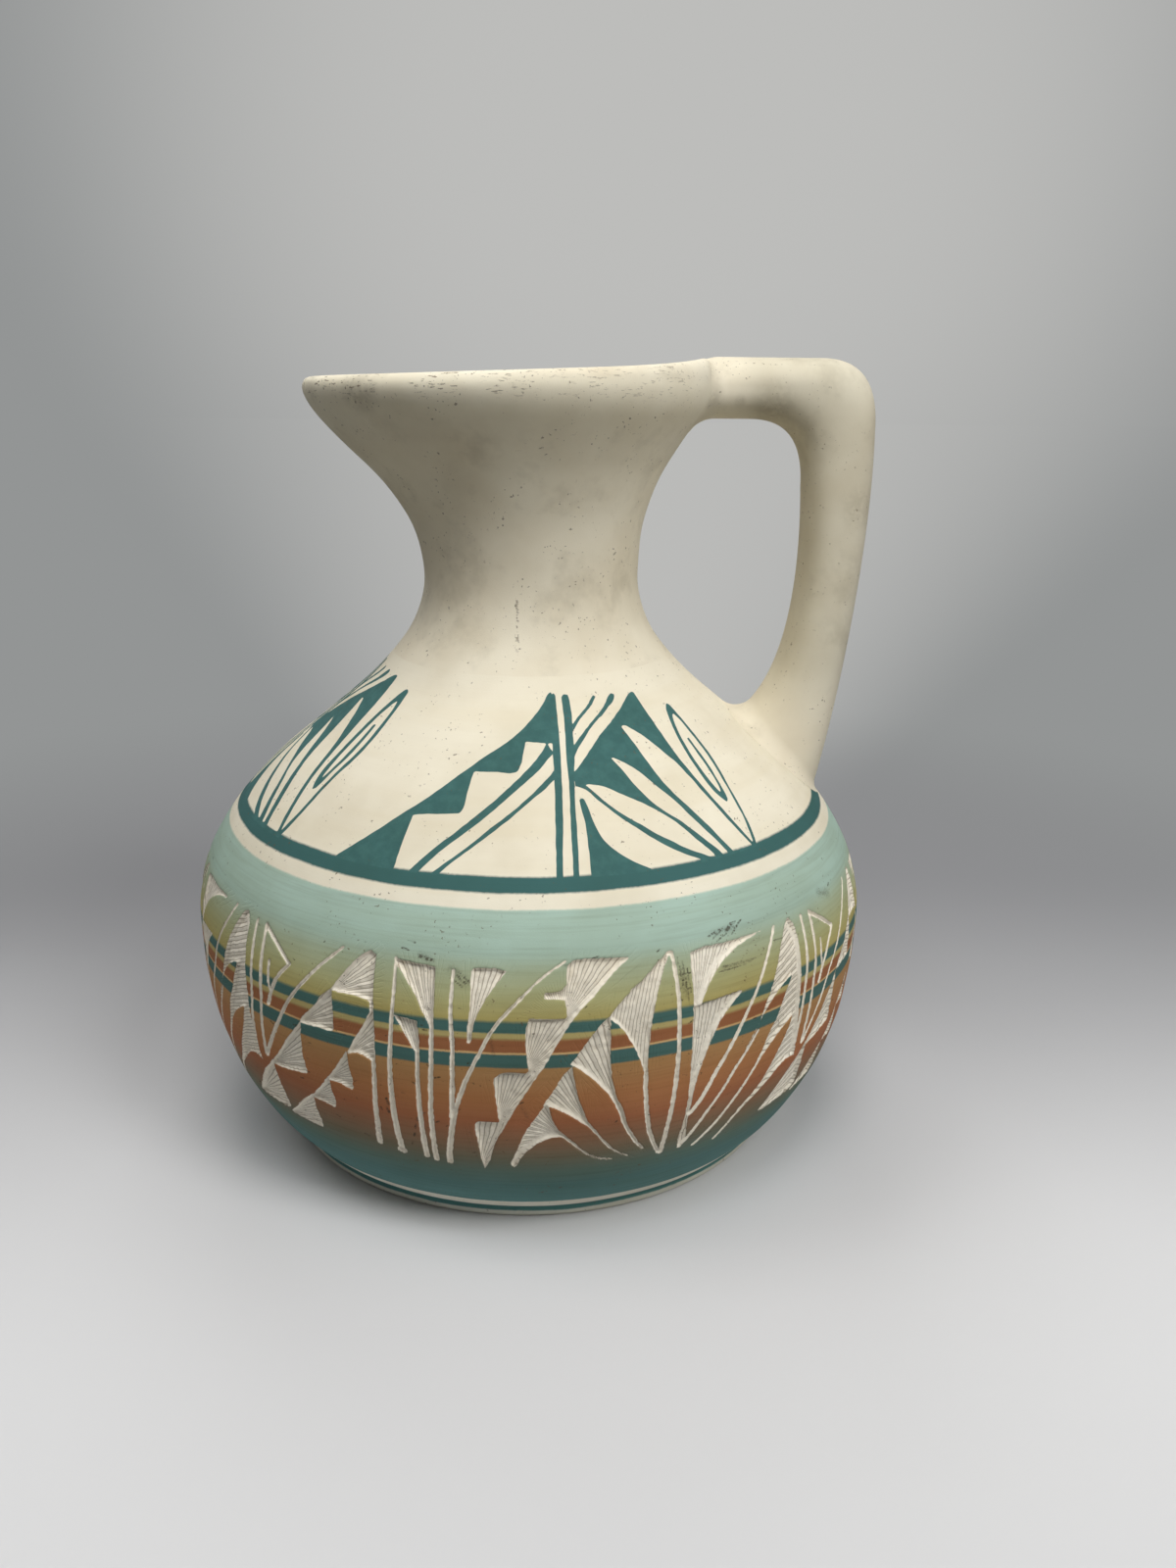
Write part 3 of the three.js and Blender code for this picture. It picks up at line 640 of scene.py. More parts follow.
group_sheet = sheet(np.arange(group_span[0], group_span[1], 360 / belly_columns), belly_z)
group_shape = (len(belly_z), len(group_sheet["turn"]))
group = blank_fields(group_shape)
wander = rib_wander * grain(group_shape, rib_seed, rib_blur)
for how, points in frieze_areas.values():
    rows, columns, inside = area(group_sheet, points)
    phase = rib_phase(group_sheet, rows, columns, how) + wander[rows, columns]
    keep_better(group, (rows, columns), inside, phase=phase, ribbed=1)
for points, start, end in frieze_strokes:
    rows, columns, inside = stroke(group_sheet, points, start, end)
    keep_better(group, (rows, columns), inside, ribbed=0)
for points, start, end in smooth_strips:
    rows, columns, inside = stroke(group_sheet, points, start, end)
    group["ribbed"][rows, columns] *= 1 - eased(0.5 + inside / strip_edge)
print("scraped share of a group:", round(float((group["carved"] > 0).mean()), 3))

# %% Lay the groups round the belly
edge_chips, chip_seed, chip_blur = 0.06, 11, 2


def laid(values, on, turn, offset, squeeze=1.0, anchor=0.0):
    """Reads a sheet's columns at (turn - offset - anchor) / squeeze + anchor, interpolated."""
    first, pitch = on["turn"][0], on["turn"][1] - on["turn"][0]
    middle = (first + on["turn"][-1]) / 2
    around = (np.degrees(turn) - offset - middle + 180) % 360 - 180 + middle
    place = ((around - anchor) / squeeze + anchor - first) / pitch
    known = (place >= 0) & (place < len(on["turn"]) - 1)
    left = np.where(known, np.floor(place), 0).astype(int)
    share = place - left
    read = values[:, left] * (1 - share) + values[:, left + 1] * share
    return np.where(known[None, :], read, outside)


squeeze = back_group_period / group_period
places = [(offset, 1.0, 0.0) for offset in front_groups]
places.append((back_group_start - group_start, squeeze, group_start))
belly_fields = blank_fields((len(belly_z), belly_columns))
for place in places:
    keep_better(belly_fields, ..., **{field: laid(values, group_sheet, belly_turn, *place)
                                      for field, values in group.items()})
belly_fields["carved"] += edge_chips * grain(belly_fields["carved"].shape, chip_seed, chip_blur)
print("scraped share of the belly:", round(float((belly_fields["carved"] > 0).mean()), 3))

# %% [markdown]
# The front shows its age: short dark scratches and rubbed grey places. A noise could scatter
# them, but the ones that stand out are few and each is in its own place, so they are drawn as
# strokes. Only the small flecks between them are drawn from a seeded generator. All are kept as
# one more field.

# %% Scratches and rubbed places on the front
belly_scratches = [
    ([-59.4, 86.4, -57.6, 88.6], 0.9), ([-58.6, 85.4, -56.2, 88.2], 0.5),
    ([-57.8, 91.2, -55.2, 90.8], 0.5), ([-62.9, 86.2, -60.6, 86.9], 0.4),
    ([-62.2, 85.4, -60, 87.2], 0.35), ([-61.6, 84.6, -59.6, 85.8], 0.35),
    ([-61.4, 78.4, -54.9, 78.2], 0.3), ([-62, 77.4, -57, 77.2], 0.25),
    ([-50.7, 80.6, -48.4, 80.4], 0.35), ([-68.6, 83, -68.2, 76], 0.3),
    ([-67.9, 82, -67.3, 71], 0.3), ([-67.2, 80, -67, 74], 0.3), ([-68.9, 79, -66.6, 78.8], 0.3),
    ([-68.7, 75.4, -66.9, 75.2], 0.3), ([-108.4, 88.1, -107.2, 87.6], 0.5),
    ([-109.2, 86.2, -108.1, 85.9], 0.5), ([-104.8, 92.8, -103.4, 92.4], 0.4),
    ([-106.4, 84.9, -104.2, 84.2], 0.6), ([-101, 81.8, -99.2, 79.4], 0.3),
    ([-100.4, 82, -98.4, 79.6], 0.3), ([-101.6, 80.8, -99.8, 78.8], 0.3),
    ([-111.8, 45.6, -111.6, 44], 0.9), ([-111.9, 42.6, -111.7, 41.4], 0.8),
    ([-113, 42.6, -112.8, 41.8], 0.6), ([-107.1, 41.4, -107.3, 40.2], 0.7),
    ([-107.6, 38.6, -107.8, 37.6], 0.6), ([-108, 35.8, -108.2, 34.8], 0.6),
    ([-108.6, 32.6, -108.8, 31.8], 0.5), ([-66, 57, -65.2, 52], 0.3),
    ([-64.4, 62.8, -64.1, 58.4], 0.35), ([-92.3, 47.9, -91.4, 48.4], 0.5),
    ([-53.2, 49.7, -52.1, 50.1], 0.4),
]

belly_smudges = [
    ([-101.4, 82.6, -99.2, 80], 4.5), ([-106.2, 85.2, -104.6, 84], 3.2),
    ([-68.2, 80, -67.8, 74], 3.6), ([-62, 86.6, -58, 86.8], 3.0), ([-36, 86, -33, 84], 4.5),
    ([-61, 78.2, -56, 78], 1.8), ([-86, 84, -82, 83.6], 1.6), ([-96, 68, -95.4, 62], 1.6),
    ([-91.6, 47, -90.8, 44], 1.8),
]
smudge_softness, smudge_top = 0.12, -0.015


def worn(on, marks, smudges):
    """Distance to the nearest scratch, and low soft hills that stay under smudge_top, so faint."""
    field = np.full((len(on["z"]), len(on["turn"])), outside)
    for points, width in marks:
        rows, columns, inside = stroke(on, points, width, width)
        field[rows, columns] = np.maximum(field[rows, columns], inside)
    for points, width in smudges:
        rows, columns, inside = stroke(on, points, width, width)
        low = np.minimum(smudge_softness * (inside / width - 0.5) * 2, smudge_top)
        field[rows, columns] = np.maximum(field[rows, columns], low)
    return field


fleck_count, fleck_seed = 260, 19
fleck_turns, fleck_heights = (-176, 176), (belly_low + 2, belly_high - 1)
fleck_runs, fleck_climbs, fleck_widths = (0.15, 0.9), (-0.6, 0.6), (0.2, 0.5)
luck = np.random.default_rng(fleck_seed)
drawn_flecks = [luck.uniform(*span, fleck_count) for span in
                (fleck_turns, fleck_heights, fleck_runs, fleck_climbs, fleck_widths)]
flecks = [([turn, z, turn + run, z + climb], width)
          for turn, z, run, climb, width in zip(*drawn_flecks)]
whole_sheet = sheet(np.arange(-180, 180, 360 / belly_columns), belly_z)
belly_wear = worn(whole_sheet, belly_scratches + flecks, belly_smudges)
belly_fields["wear"] = laid(belly_wear, whole_sheet, belly_turn, 0.0)
print(len(belly_scratches), "scratches,", len(belly_smudges), "smudges and", len(flecks), "flecks")

# %% [markdown]
# ## The base and the belly
# The belly is one skin of clay, but its mesh is cut into rings so that no piece is too heavy.
# Each ring is a closed band: outer rows up, inner rows down, and flat cuts between them that lie
# inside the clay. The carving is real relief: the wall sinks quickly from a cut's edge to its
# floor, and ribs are ploughed into that floor.

# %% The base: underside, foot, lower wall and floor
hub_radius, under_inset, under_rows = 4.0, 2.0, 24
foot_edge, foot_bulge, foot_pull, foot_rows = 1.6, 2.9, (0.1, 2.3), 9
base_outer_rows, base_inner_rows, base_inner_low = 36, 10, 6.0
floor_height, floor_fillet, floor_lean, floor_curve_rows, floor_rows = 8.0, 4.0, (1.2, 1.6), 7, 11
foot_columns = 720
base_skin_z = np.linspace(foot_rounding, belly_low, base_outer_rows)
base_turn = turns(foot_columns)


def ring_rows(profile, turn):
    """Turns (radius, height) points into rows of (radius * cos, radius * sin, height) points."""
    profile = np.asarray(profile, dtype=float)[:, None, :]
    return np.stack([profile[..., 0] * np.cos(turn), profile[..., 0] * np.sin(turn),
                     profile[..., 1] + 0 * turn], axis=-1)


under_radii = np.linspace(hub_radius, foot_radius - under_inset, under_rows)
under = np.column_stack([under_radii, 0 * under_radii])
foot_curve = bezier((foot_radius + foot_edge, 0), (foot_radius + foot_bulge, 0),
                    foot_corner - foot_pull, foot_corner, np.linspace(0, 1, foot_rows + 1)[:-1])
outer = wall_point(base_skin_z[:, None], base_turn, throwing(base_skin_z[:, None], base_turn))
inner_z = np.linspace(belly_low, base_inner_low, base_inner_rows)
inner = wall_point(inner_z[:, None], base_turn, wall_thickness(inner_z)[:, None])
low_ring = np.array([np.hypot(inner[-1, 0, 0], inner[-1, 0, 1]), inner[-1, 0, 2]])
floor_curve = bezier(low_ring, low_ring - floor_lean,
                     (low_ring[0] - floor_fillet, floor_height),
                     (low_ring[0] - 2 * floor_fillet, floor_height),
                     np.linspace(0, 1, floor_curve_rows + 1)[1:])
floor_radii = np.linspace(floor_curve[-1, 0], hub_radius, floor_rows + 1)[1:]
floor = np.column_stack([floor_radii, 0 * floor_radii + floor_height])
base_grid = np.concatenate([
    ring_rows(under, base_turn), ring_rows(foot_curve, base_turn), outer, inner,
    ring_rows(floor_curve, base_turn), ring_rows(floor, base_turn)])
cut = len(under) + len(foot_curve) + len(outer)
is_inner = np.repeat(np.arange(len(base_grid))[:, None] >= cut, foot_columns, axis=1)
base = skin("pitcher_base", base_grid, (0, 0, 0), (0, 0, floor_height),
            sharp_rows=(cut - 1, cut), fields={"inner": is_inner})

# %% The carved belly in four rings
carve_depth, carve_run, rib_depth, belly_inner_rows = 0.75, 0.5, 0.2, 5
uneven_depth, uneven_seed, uneven_blur = 0.06, 23, 5


def band(name, z, turn, depth, inner_rows, fields):
    """A closed ring of wall: outer rows at their own depth, inner rows at the clay's thickness."""
    outer = wall_point(z[:, None], turn, depth)
    inner_z = np.linspace(z[-1], z[0], inner_rows)
    inner = wall_point(inner_z[:, None], turn, wall_thickness(inner_z)[:, None])
    blank = np.zeros((inner_rows, len(turn)))
    padded = {field: np.concatenate([values, blank + outside]) for field, values in fields.items()}
    padded["inner"] = np.concatenate([0 * z[:, None] + 0 * turn, blank + 1])
    last = len(z) + inner_rows - 1
    return skin(name, np.concatenate([outer, inner]), fields=padded,
                sharp_rows=(0, len(z) - 1, len(z), last))


def bands_up(names, z, turn, depth, inner_rows, fields):
    """Cuts a strip of wall into as many rings of equal height as there are names."""
    rows = (len(z) - 1) // len(names)
    parts = [slice(index * rows, (index + 1) * rows + 1) for index in range(len(names))]
    return [band(name, z[part], turn, depth[part], inner_rows,
                 {field: values[part] for field, values in fields.items()})
            for name, part in zip(names, parts)]


sunk = eased(belly_fields["carved"] / carve_run)
uneven = uneven_depth * grain(sunk.shape, uneven_seed, uneven_blur)
scrape = 0.5 + 0.5 * np.cos(np.pi * belly_fields["phase"])
belly_depth = (throwing(belly_z[:, None], belly_turn)
               + sunk * (carve_depth + uneven + rib_depth * belly_fields["ribbed"] * scrape))
belly = bands_up(["pitcher_belly_" + name for name in ("lowest", "lower", "upper", "highest")],
                 belly_z, belly_turn, belly_depth, belly_inner_rows, belly_fields)

# %% [markdown]
# ## The painted shoulder
# The shoulder is smooth; its ornament is a brush drawing in teal: a stepped triangle, two tall
# bars, slanting lines, a fan of leaves and a feather with an eye. It could be cut out of a
# texture, but the same distances that carve the belly give a brush edge that stays sharp at any
# zoom. The leaves of the fan are areas that stay bare, so they are taken out of it.

# %% Brush shapes of one ornament
painted_areas = [
    [-126, 102, -124, 104.3, -120, 108.6, -116.5, 112.2, -114, 114.4, -110, 118.1, -108, 120,
     -104.5, 122.8, -102, 124.6, -98, 127, -94, 129.5, -90, 132.6, -88, 134.3, -86, 136.2, -84.5,
     137.9, -83.5, 138.4, -83, 138.3, -84, 127.5, -86, 127.6, -91.7, 127.9, -93, 122.5, -93.6,
     121.9, -98, 121.8, -103.7, 121.7, -104, 117, -104, 114.5, -104.5, 113.5, -108, 113.1, -112,
     112.7, -114, 112.3, -114, 107, -113.8, 101.5, -125.9, 101.5],
    [-84.9, 137, -82.3, 138.2, -81.8, 137.6, -82, 134, -82.4, 128, -83, 122, -83.6, 116, -84.2, 110,
     -84.8, 104, -84.9, 101.5, -86, 101.5, -85.6, 110, -84.9, 120, -84.6, 125.6, -84.3, 130],
    [-111.2, 101.5, -109.6, 103.9, -107.9, 106.3, -104.2, 110.2, -100.2, 114.1, -96, 118, -92,
     121.6, -89, 124.2, -87, 126.3, -85.9, 127.6, -84.5, 125.6, -87, 123.4, -90, 121, -94, 117.8,
     -98, 114.2, -102, 110.5, -105.6, 107, -107.8, 104.2, -109.4, 101.5],
    [-107.3, 101.5, -105, 104, -102, 107, -98, 111, -94, 114.3, -90, 117.6, -87, 120.2, -85, 122,
     -84.6, 123, -84.8, 120.5, -87, 118.7, -90, 116.6, -94, 113.2, -98, 109.8, -101, 107, -104, 104,
     -105.8, 101.5],
    [-79.8, 137.2, -79, 137.8, -77.4, 137.7, -77.2, 136.5, -77.7, 132, -78.2, 129.8, -78.7, 127.2,
     -79.3, 124, -79.9, 122, -80.5, 119, -81.2, 114, -81.6, 109, -82.1, 103, -82.2, 101.5,
     -83.2, 101.5, -82.8, 108, -82.3, 114, -81.7, 119, -81.3, 124, -80.7, 128.5, -80.1, 133],
    [-77.9, 131.2, -76, 132.6, -73, 134.3, -71, 135.4, -69, 136.9, -68.3, 137.2, -67.6, 136.8,
     -68.5, 136.2, -70, 135.1, -72, 134, -75, 132.3, -77, 130.8, -78.2, 129.6],
    [-78.7, 127, -76, 128.9, -72, 131.4, -69, 133, -66, 134.6, -63, 136.5, -61.5, 137.2, -60.3,
     136.8, -61, 136, -64, 134.5, -67, 133, -70, 131.7, -73, 130, -76, 127.7, -78, 126.1, -79.4,
     124.3],
    [-80.2, 121.6, -79, 122.4, -76, 124.8, -73, 127, -70, 129, -66, 131, -62, 133, -58, 134.9, -55,
     136.3, -53, 136.8, -51.9, 136.7, -51.6, 132, -51.3, 127, -50.9, 121.5, -50.2, 117, -49.4, 113,
     -48.4, 109, -47.4, 105, -46.7, 102.5, -45.9, 101.3, -60, 101.3, -59.7, 102, -62, 103.4, -64,
     104.9, -66, 106.5, -68, 108.3, -70, 110.3, -72, 112, -74, 114, -76, 116, -78, 118, -80.3, 119],
    [-80.1, 116.2, -79.6, 116.6, -79, 116.4, -78.6, 115, -78.2, 113, -77.6, 110.6, -76.8, 108.5,
     -75.6, 106.8, -74, 105.2, -72, 103.5, -70, 102.2, -69, 101.5, -80.2, 101.5, -79.9, 107,
     -79.7, 112, -80, 115],
]
bare_leaves = [
    [-78.2, 119.2, -76, 119, -73.5, 118.3, -71, 117, -69, 115.9, -66, 114.2, -63, 111.8, -61, 109.8,
     -59.5, 107.5, -58, 105, -56.7, 102.8, -56.3, 101.8, -57.5, 102, -59, 103, -62, 105, -64, 106.7,
     -66, 108.2, -68, 110, -70, 111.6, -72, 113.2, -74, 115, -76, 117.1, -77.5, 118.7],
    [-70, 124.1, -68.5, 123.6, -66, 122.2, -64, 120.5, -62, 118, -60.5, 116, -59, 114, -57.5, 111,
     -56, 108, -54.6, 105, -53.4, 101.9, -54.7, 101.8, -55.2, 103, -56.5, 105, -58, 107.3, -60, 110,
     -62, 111.9, -64, 114, -65.7, 116.5, -67, 119, -68.4, 121.8],
    [-63.2, 130, -61.5, 129.9, -60, 129, -58, 127.6, -56, 125.6, -54, 123, -52.6, 120.8, -51.7,
     118.2, -50.9, 115, -50, 111.6, -49, 107.8, -48, 104.3, -47.2, 101.8, -52.1, 101.8, -53, 104,
     -54, 106.8, -55.4, 110, -57, 113, -58.6, 116, -59.6, 118.5, -60.3, 121.5, -61.3, 125, -62.3,
     128],
]
eye_feather = [
    -46, 101.6, -45, 104.5, -44, 108, -43.2, 111.5, -42.2, 115, -41, 118, -40.1, 121, -39.7, 125,
    -39.7, 129, -40, 132.3, -41, 132.7, -42.3, 132.2, -44, 130.5, -45.5, 128.3, -46.7, 125.5,
    -47.6, 121.5, -48, 117.5, -47.9, 114.5, -47.2, 112.5, -46.3, 111.2, -45.6, 111.6, -45.1, 113,
    -44.5, 115.5, -43.7, 118, -43.2, 121, -43, 123.5, -43, 124.9, -43.7, 124.9, -44, 122,
    -44.4, 119, -45, 116, -45.7, 113.8, -46.2, 113.2, -46.5, 114, -46.8, 116, -46.8, 119,
    -46.3, 122.5, -45.3, 126, -43.8, 128.6, -42.3, 130.1, -41.5, 130.3, -40.9, 129, -40.7, 126,
    -40.9, 122, -41.6, 119, -42.8, 115.5, -43.9, 111.5, -44.9, 107, -46, 103.8, -46.6, 101.6]
print(len(painted_areas) + 1, "painted areas and", len(bare_leaves), "bare leaves in an ornament")

# %% [markdown]
# The painter set the ornament three times round the shoulder, and no two came out alike: one
# leans a little, one is taller, and one brush was fuller. Three copies of one shape would look
# stamped, so each has its turn, its height, its feather's height, its lean in degrees and its
# thicker line.

# %% The shoulder's wall and its paint
ornaments = ((0.0, 1.0, 1.0, 0.0, 0.0), (-96.0, 1.04, 1.11, -1.7, 0.2),
             (168.0, 1.02, 1.04, 0.6, 0.1))
ornament_span, ring_edge, ornament_height = (-130, -36), 101.7, 33.0
shoulder_high, shoulder_rows, shoulder_columns, shoulder_inner_rows = 142.0, 136, 1080, 5
brush_waver, brush_seed, brush_blur = 0.035, 31, 3
shoulder_z = np.linspace(belly_high, shoulder_high, shoulder_rows + 1)
shoulder_turn = turns(shoulder_columns)
ornament_sheet = sheet(np.arange(*ornament_span, 360 / shoulder_columns), shoulder_z)


def raised(points, taller, lean):
    """Turn + lean * above / the ornament's height, ring + taller * above: above the teal ring."""
    p = np.array(points, dtype=float).reshape(-1, 2)
    above = p[:, 1] - ring_edge
    return np.column_stack([p[:, 0] + lean * above / ornament_height,
                            ring_edge + taller * above]).ravel()


def ornament(taller, feather_taller, lean, thicker):
    """Distances of one ornament: its areas, less the bare leaves, then the feather with the eye."""
    field = np.full((len(shoulder_z), len(ornament_sheet["turn"])), outside)
    shapes = [(points, taller, 1) for points in painted_areas]
    shapes += [(points, taller, -1) for points in bare_leaves] + [(eye_feather, feather_taller, 1)]
    for points, stretch, sign in shapes:
        rows, columns, inside = area(ornament_sheet, raised(points, stretch, lean))
        field[rows, columns] = sign * np.maximum(sign * field[rows, columns], inside)
    return field + thicker


painted = np.full((len(shoulder_z), shoulder_columns), outside)
for offset, *by_hand in ornaments:
    painted = np.maximum(painted, laid(ornament(*by_hand), ornament_sheet, shoulder_turn, offset))
painted = painted + brush_waver * grain(painted.shape, brush_seed, brush_blur)
shoulder_depth = throwing(shoulder_z[:, None], shoulder_turn)
shoulder = bands_up(("pitcher_shoulder_lower", "pitcher_shoulder_upper"), shoulder_z, shoulder_turn,
                    shoulder_depth, shoulder_inner_rows, {"painted": painted})

# %% [markdown]
# ## The neck, the lip and the spout
# The neck is the same wall carried on to the mouth. Its lip was rounded with a wet finger:
# outside it leaves the flare without a line and bends over to the top, inside it is a quarter
# ellipse. A half circle set on the wall would show a sharp ring where the two meet, so the outer
# side is a Bezier that starts in the flare's own direction. Inside, the wall runs back down at
# the clay's thickness.

# %% Neck, lip and inside of the mouth
neck_columns, neck_rows, lip_rows, neck_inner_rows = 450, 125, 15, 56
lip_start, lip_pull, lip_crown_pull = swell_height - 4.0, 7.0, 3.8
lip_inside_start, ridges_fade = swell_height - 4.5, 8.0


def lip_line(turn):
    """(radius, z) of the lip: a Bezier from flare to crown, then a quarter ellipse inwards."""
    edge, _ = rim_edge(turn)
    top = rim_top(turn)
    start = outer_radius(lip_start, turn)
    lean = (start - outer_radius(lip_start - slope_step, turn)) / slope_step
    along = lip_pull / np.sqrt(1 + lean ** 2)
    crown = edge - lip_thickness / 2
    outer = bezier(
        np.stack([start, lip_start + 0 * turn], axis=-1),
        np.stack([start + along * lean, lip_start + along], axis=-1),
        np.stack([crown + lip_crown_pull, top], axis=-1),
        np.stack([crown, top], axis=-1),
        (np.arange(1, lip_rows + 1) / lip_rows)[:, None])
    inward = (np.pi / 2 * np.arange(1, lip_rows // 2 + 1) / (lip_rows // 2))[:, None]
    inner = np.stack([crown - lip_thickness / 2 * np.sin(inward),
                      swell_height + (top - swell_height) * np.cos(inward)], axis=-1)
    return np.concatenate([outer, inner])


neck_turn = turns(neck_columns)
neck_z = np.linspace(shoulder_high, lip_start, neck_rows)
neck_ridges = (throwing(neck_z[:, None], neck_turn)
               * eased((lip_start - neck_z[:, None]) / ridges_fade))
neck_outer = wall_point(neck_z[:, None], neck_turn, neck_ridges)
lip_radius, lip_z = np.moveaxis(lip_line(neck_turn), -1, 0)
lip = np.stack([lip_radius * np.cos(neck_turn), lip_radius * np.sin(neck_turn), lip_z], axis=-1)
past_edge = (lip_radius - rim_edge(neck_turn)[0]).max()
print("the lip reaches", round(float(past_edge), 2), "mm past its edge")
neck_inner_z = np.linspace(lip_inside_start, shoulder_high, neck_inner_rows)
neck_inner = wall_point(neck_inner_z[:, None], neck_turn, wall_thickness(neck_inner_z)[:, None])
neck_grid = np.concatenate([neck_outer, lip, neck_inner])
neck = skin("pitcher_neck_and_spout", neck_grid, sharp_rows=(0, len(neck_grid) - 1))

# %% [markdown]
# ## The handle
# The handle is a pulled strap of oval section that was pressed on to the lip and the shoulder,
# and the slip was smoothed into both joints. A Boolean union would give a hard line there.
# Instead each line along the strap stops where a ball of the fillet's radius would touch both
# strap and wall, follows that ball round, and then dives into the wall: a rolling-ball fillet
# made of plain arithmetic.

# %% The strap before it is joined
handle_reach, handle_crown = 97.6, 224.4
bar_thickness, upright_thickness = 16.6, 19.4
corner_reach, corner_drop, corner_fullness = 16.0, 19.0, 0.68
upright_bow, upright_fullness, foot_fullness = 1.5, 0.33, 0.17
foot_height, foot_thickness, foot_widening, widening_ease = 100.0, 24.0, 4.0, 6
outer_lean, inner_lean = 4.5, 16.0
far_setback, crown_dip, crown_dip_length = 3.0, 1.4, 5.0
handle_width, section_roundness, handle_columns = 24.0, 0.85, 160
bar_steps, corner_steps, upright_steps, buried_steps = 80, 60, 240, 20


def strap_line(start, level, reach, foot, lean):
    """Level bar, Bezier corner, bowed Bezier upright, and a straight run on into the shoulder."""
    corner_foot = level - corner_drop
    fall = corner_foot - foot[1]
    bar = np.linspace((start, level), (reach - corner_reach, level), bar_steps, endpoint=False)
    bend = bezier((reach - corner_reach, level),
                  (reach - corner_reach * (1 - corner_fullness), level),
                  (reach, corner_foot + corner_drop * corner_fullness), (reach, corner_foot),
                  np.arange(corner_steps) / corner_steps)
    upright = bezier((reach, corner_foot),
                     (reach + upright_bow, corner_foot - fall * upright_fullness),
                     (foot[0] + lean, foot[1] + fall * foot_fullness), foot,
                     np.arange(upright_steps + 1) / upright_steps)
    onward = unit(upright[-1] - upright[-2]) * body_wall
    buried = upright[-1] + onward * (np.arange(1, buried_steps + 1) / buried_steps)[:, None]
    return np.concatenate([bar, bend, upright, buried])


def on_shoulder(radius):
    """The shoulder's height at a radius, read between the points of its line."""
    return float(np.interp(-radius, -shoulder_line[:, 0], shoulder_line[:, 1]))


def rounded(v):
    """sign of v * |v| ^ roundness: a power under 1 makes an oval squarer."""
    return np.sign(v) * np.abs(v) ** section_roundness


bar_start = rim_radius - lip_thickness
outer_foot = (float(outer_radius(foot_height, 0.0)), foot_height)
inner_foot = (outer_foot[0] - foot_thickness, on_shoulder(outer_foot[0] - foot_thickness))
far = strap_line(bar_start + far_setback, handle_crown, handle_reach, outer_foot, outer_lean)
near = strap_line(bar_start, handle_crown - bar_thickness, handle_reach - upright_thickness,
                  inner_foot, inner_lean)
dip = 1 - np.clip((far[:, 0] - far[0, 0]) / crown_dip_length, 0, 1)
far[:bar_steps, 1] -= (crown_dip * dip ** 2)[:bar_steps]

share_along = np.linspace(0, 1, len(far))
half_width = (handle_width + foot_widening * share_along ** widening_ease) / 2
around = turns(handle_columns)
middle = (1 + rounded(np.cos(around))) / 2
strap_xz = near[:, None, :] + (far - near)[:, None, :] * middle[None, :, None]
strap_y = -half_width[:, None] * rounded(np.sin(around))
strap = np.stack([strap_xz[..., 0], strap_y, strap_xz[..., 1]], axis=-1)
print("finger opening about", round(float(near[bar_steps, 0] - throat_radius)), "mm wide")

# %% [markdown]
# A ball can only be rolled along a wall whose distance is known everywhere. The vessel is turned,
# so beside the handle its section is enough: any point in space is swung round the axis into that
# plane, and the distance to the section's outline is the distance to the clay.

# %% Distance to the vessel, for the fillets
section_steps, section_every, hair = 120, 12, 1e-6
normal_reach = 0.05
coarse = np.linspace(0, 1, section_steps)
flare_now = np.interp(coarse, fine, flare_z)
flare_now = flare_now[flare_now < lip_start]
lip_section = lip_line(np.zeros(1))[:, 0]
section = np.concatenate([
    [(0, 0), (foot_radius, 0)],
    body_line[::section_every],
    np.column_stack([outer_radius(flare_now + hair, 0.0), flare_now]),
    lip_section,
    [(0, swell_height), (0, 0)],
])
apart = np.abs(np.diff(section, axis=0)).sum(axis=1) > hair
section = section[np.concatenate([[True], apart])]


def clay_distance(points):
    """Distance in mm from (hypot(x, y), z) to the vessel's section; positive outside the clay."""
    r = np.hypot(points[..., 0], points[..., 1])[..., None]
    z = points[..., 2][..., None]
    ar, az, br, bz = section[:-1, 0], section[:-1, 1], section[1:, 0], section[1:, 1]
    dr, dz = br - ar, bz - az
    t = np.clip(((r - ar) * dr + (z - az) * dz) / (dr ** 2 + dz ** 2), 0, 1)
    squared = (r - ar - t * dr) ** 2 + (z - az - t * dz) ** 2
    nearest = np.sqrt(squared.min(axis=-1))
    level = (az > z) != (bz > z)
    crossed = level & (r < ar + (z - az) / np.where(dz == 0, 1, dz) * dr)
    return np.where(crossed.sum(axis=-1) % 2 == 1, -nearest, nearest)


def clay_normal(points):
    """Direction in which the distance grows fastest, by differences along x, y and z."""
    moves = np.eye(3) * normal_reach
    return unit(np.stack([clay_distance(points + m) - clay_distance(points - m) for m in moves],
                         axis=-1))


corner_distance = clay_distance(np.array([[handle_reach, 0, handle_crown - corner_drop]]))
print("distance of the strap's corner to the vessel:", corner_distance.round(1), "mm")

# %% The rolling ball
fillet_steps, seat_depth = 12, 1.8
along_row = np.gradient(strap, axis=0)
along_column = (np.roll(strap, -1, axis=1) - np.roll(strap, 1, axis=1)) / 2
strap_normal = unit(np.cross(along_column, along_row))


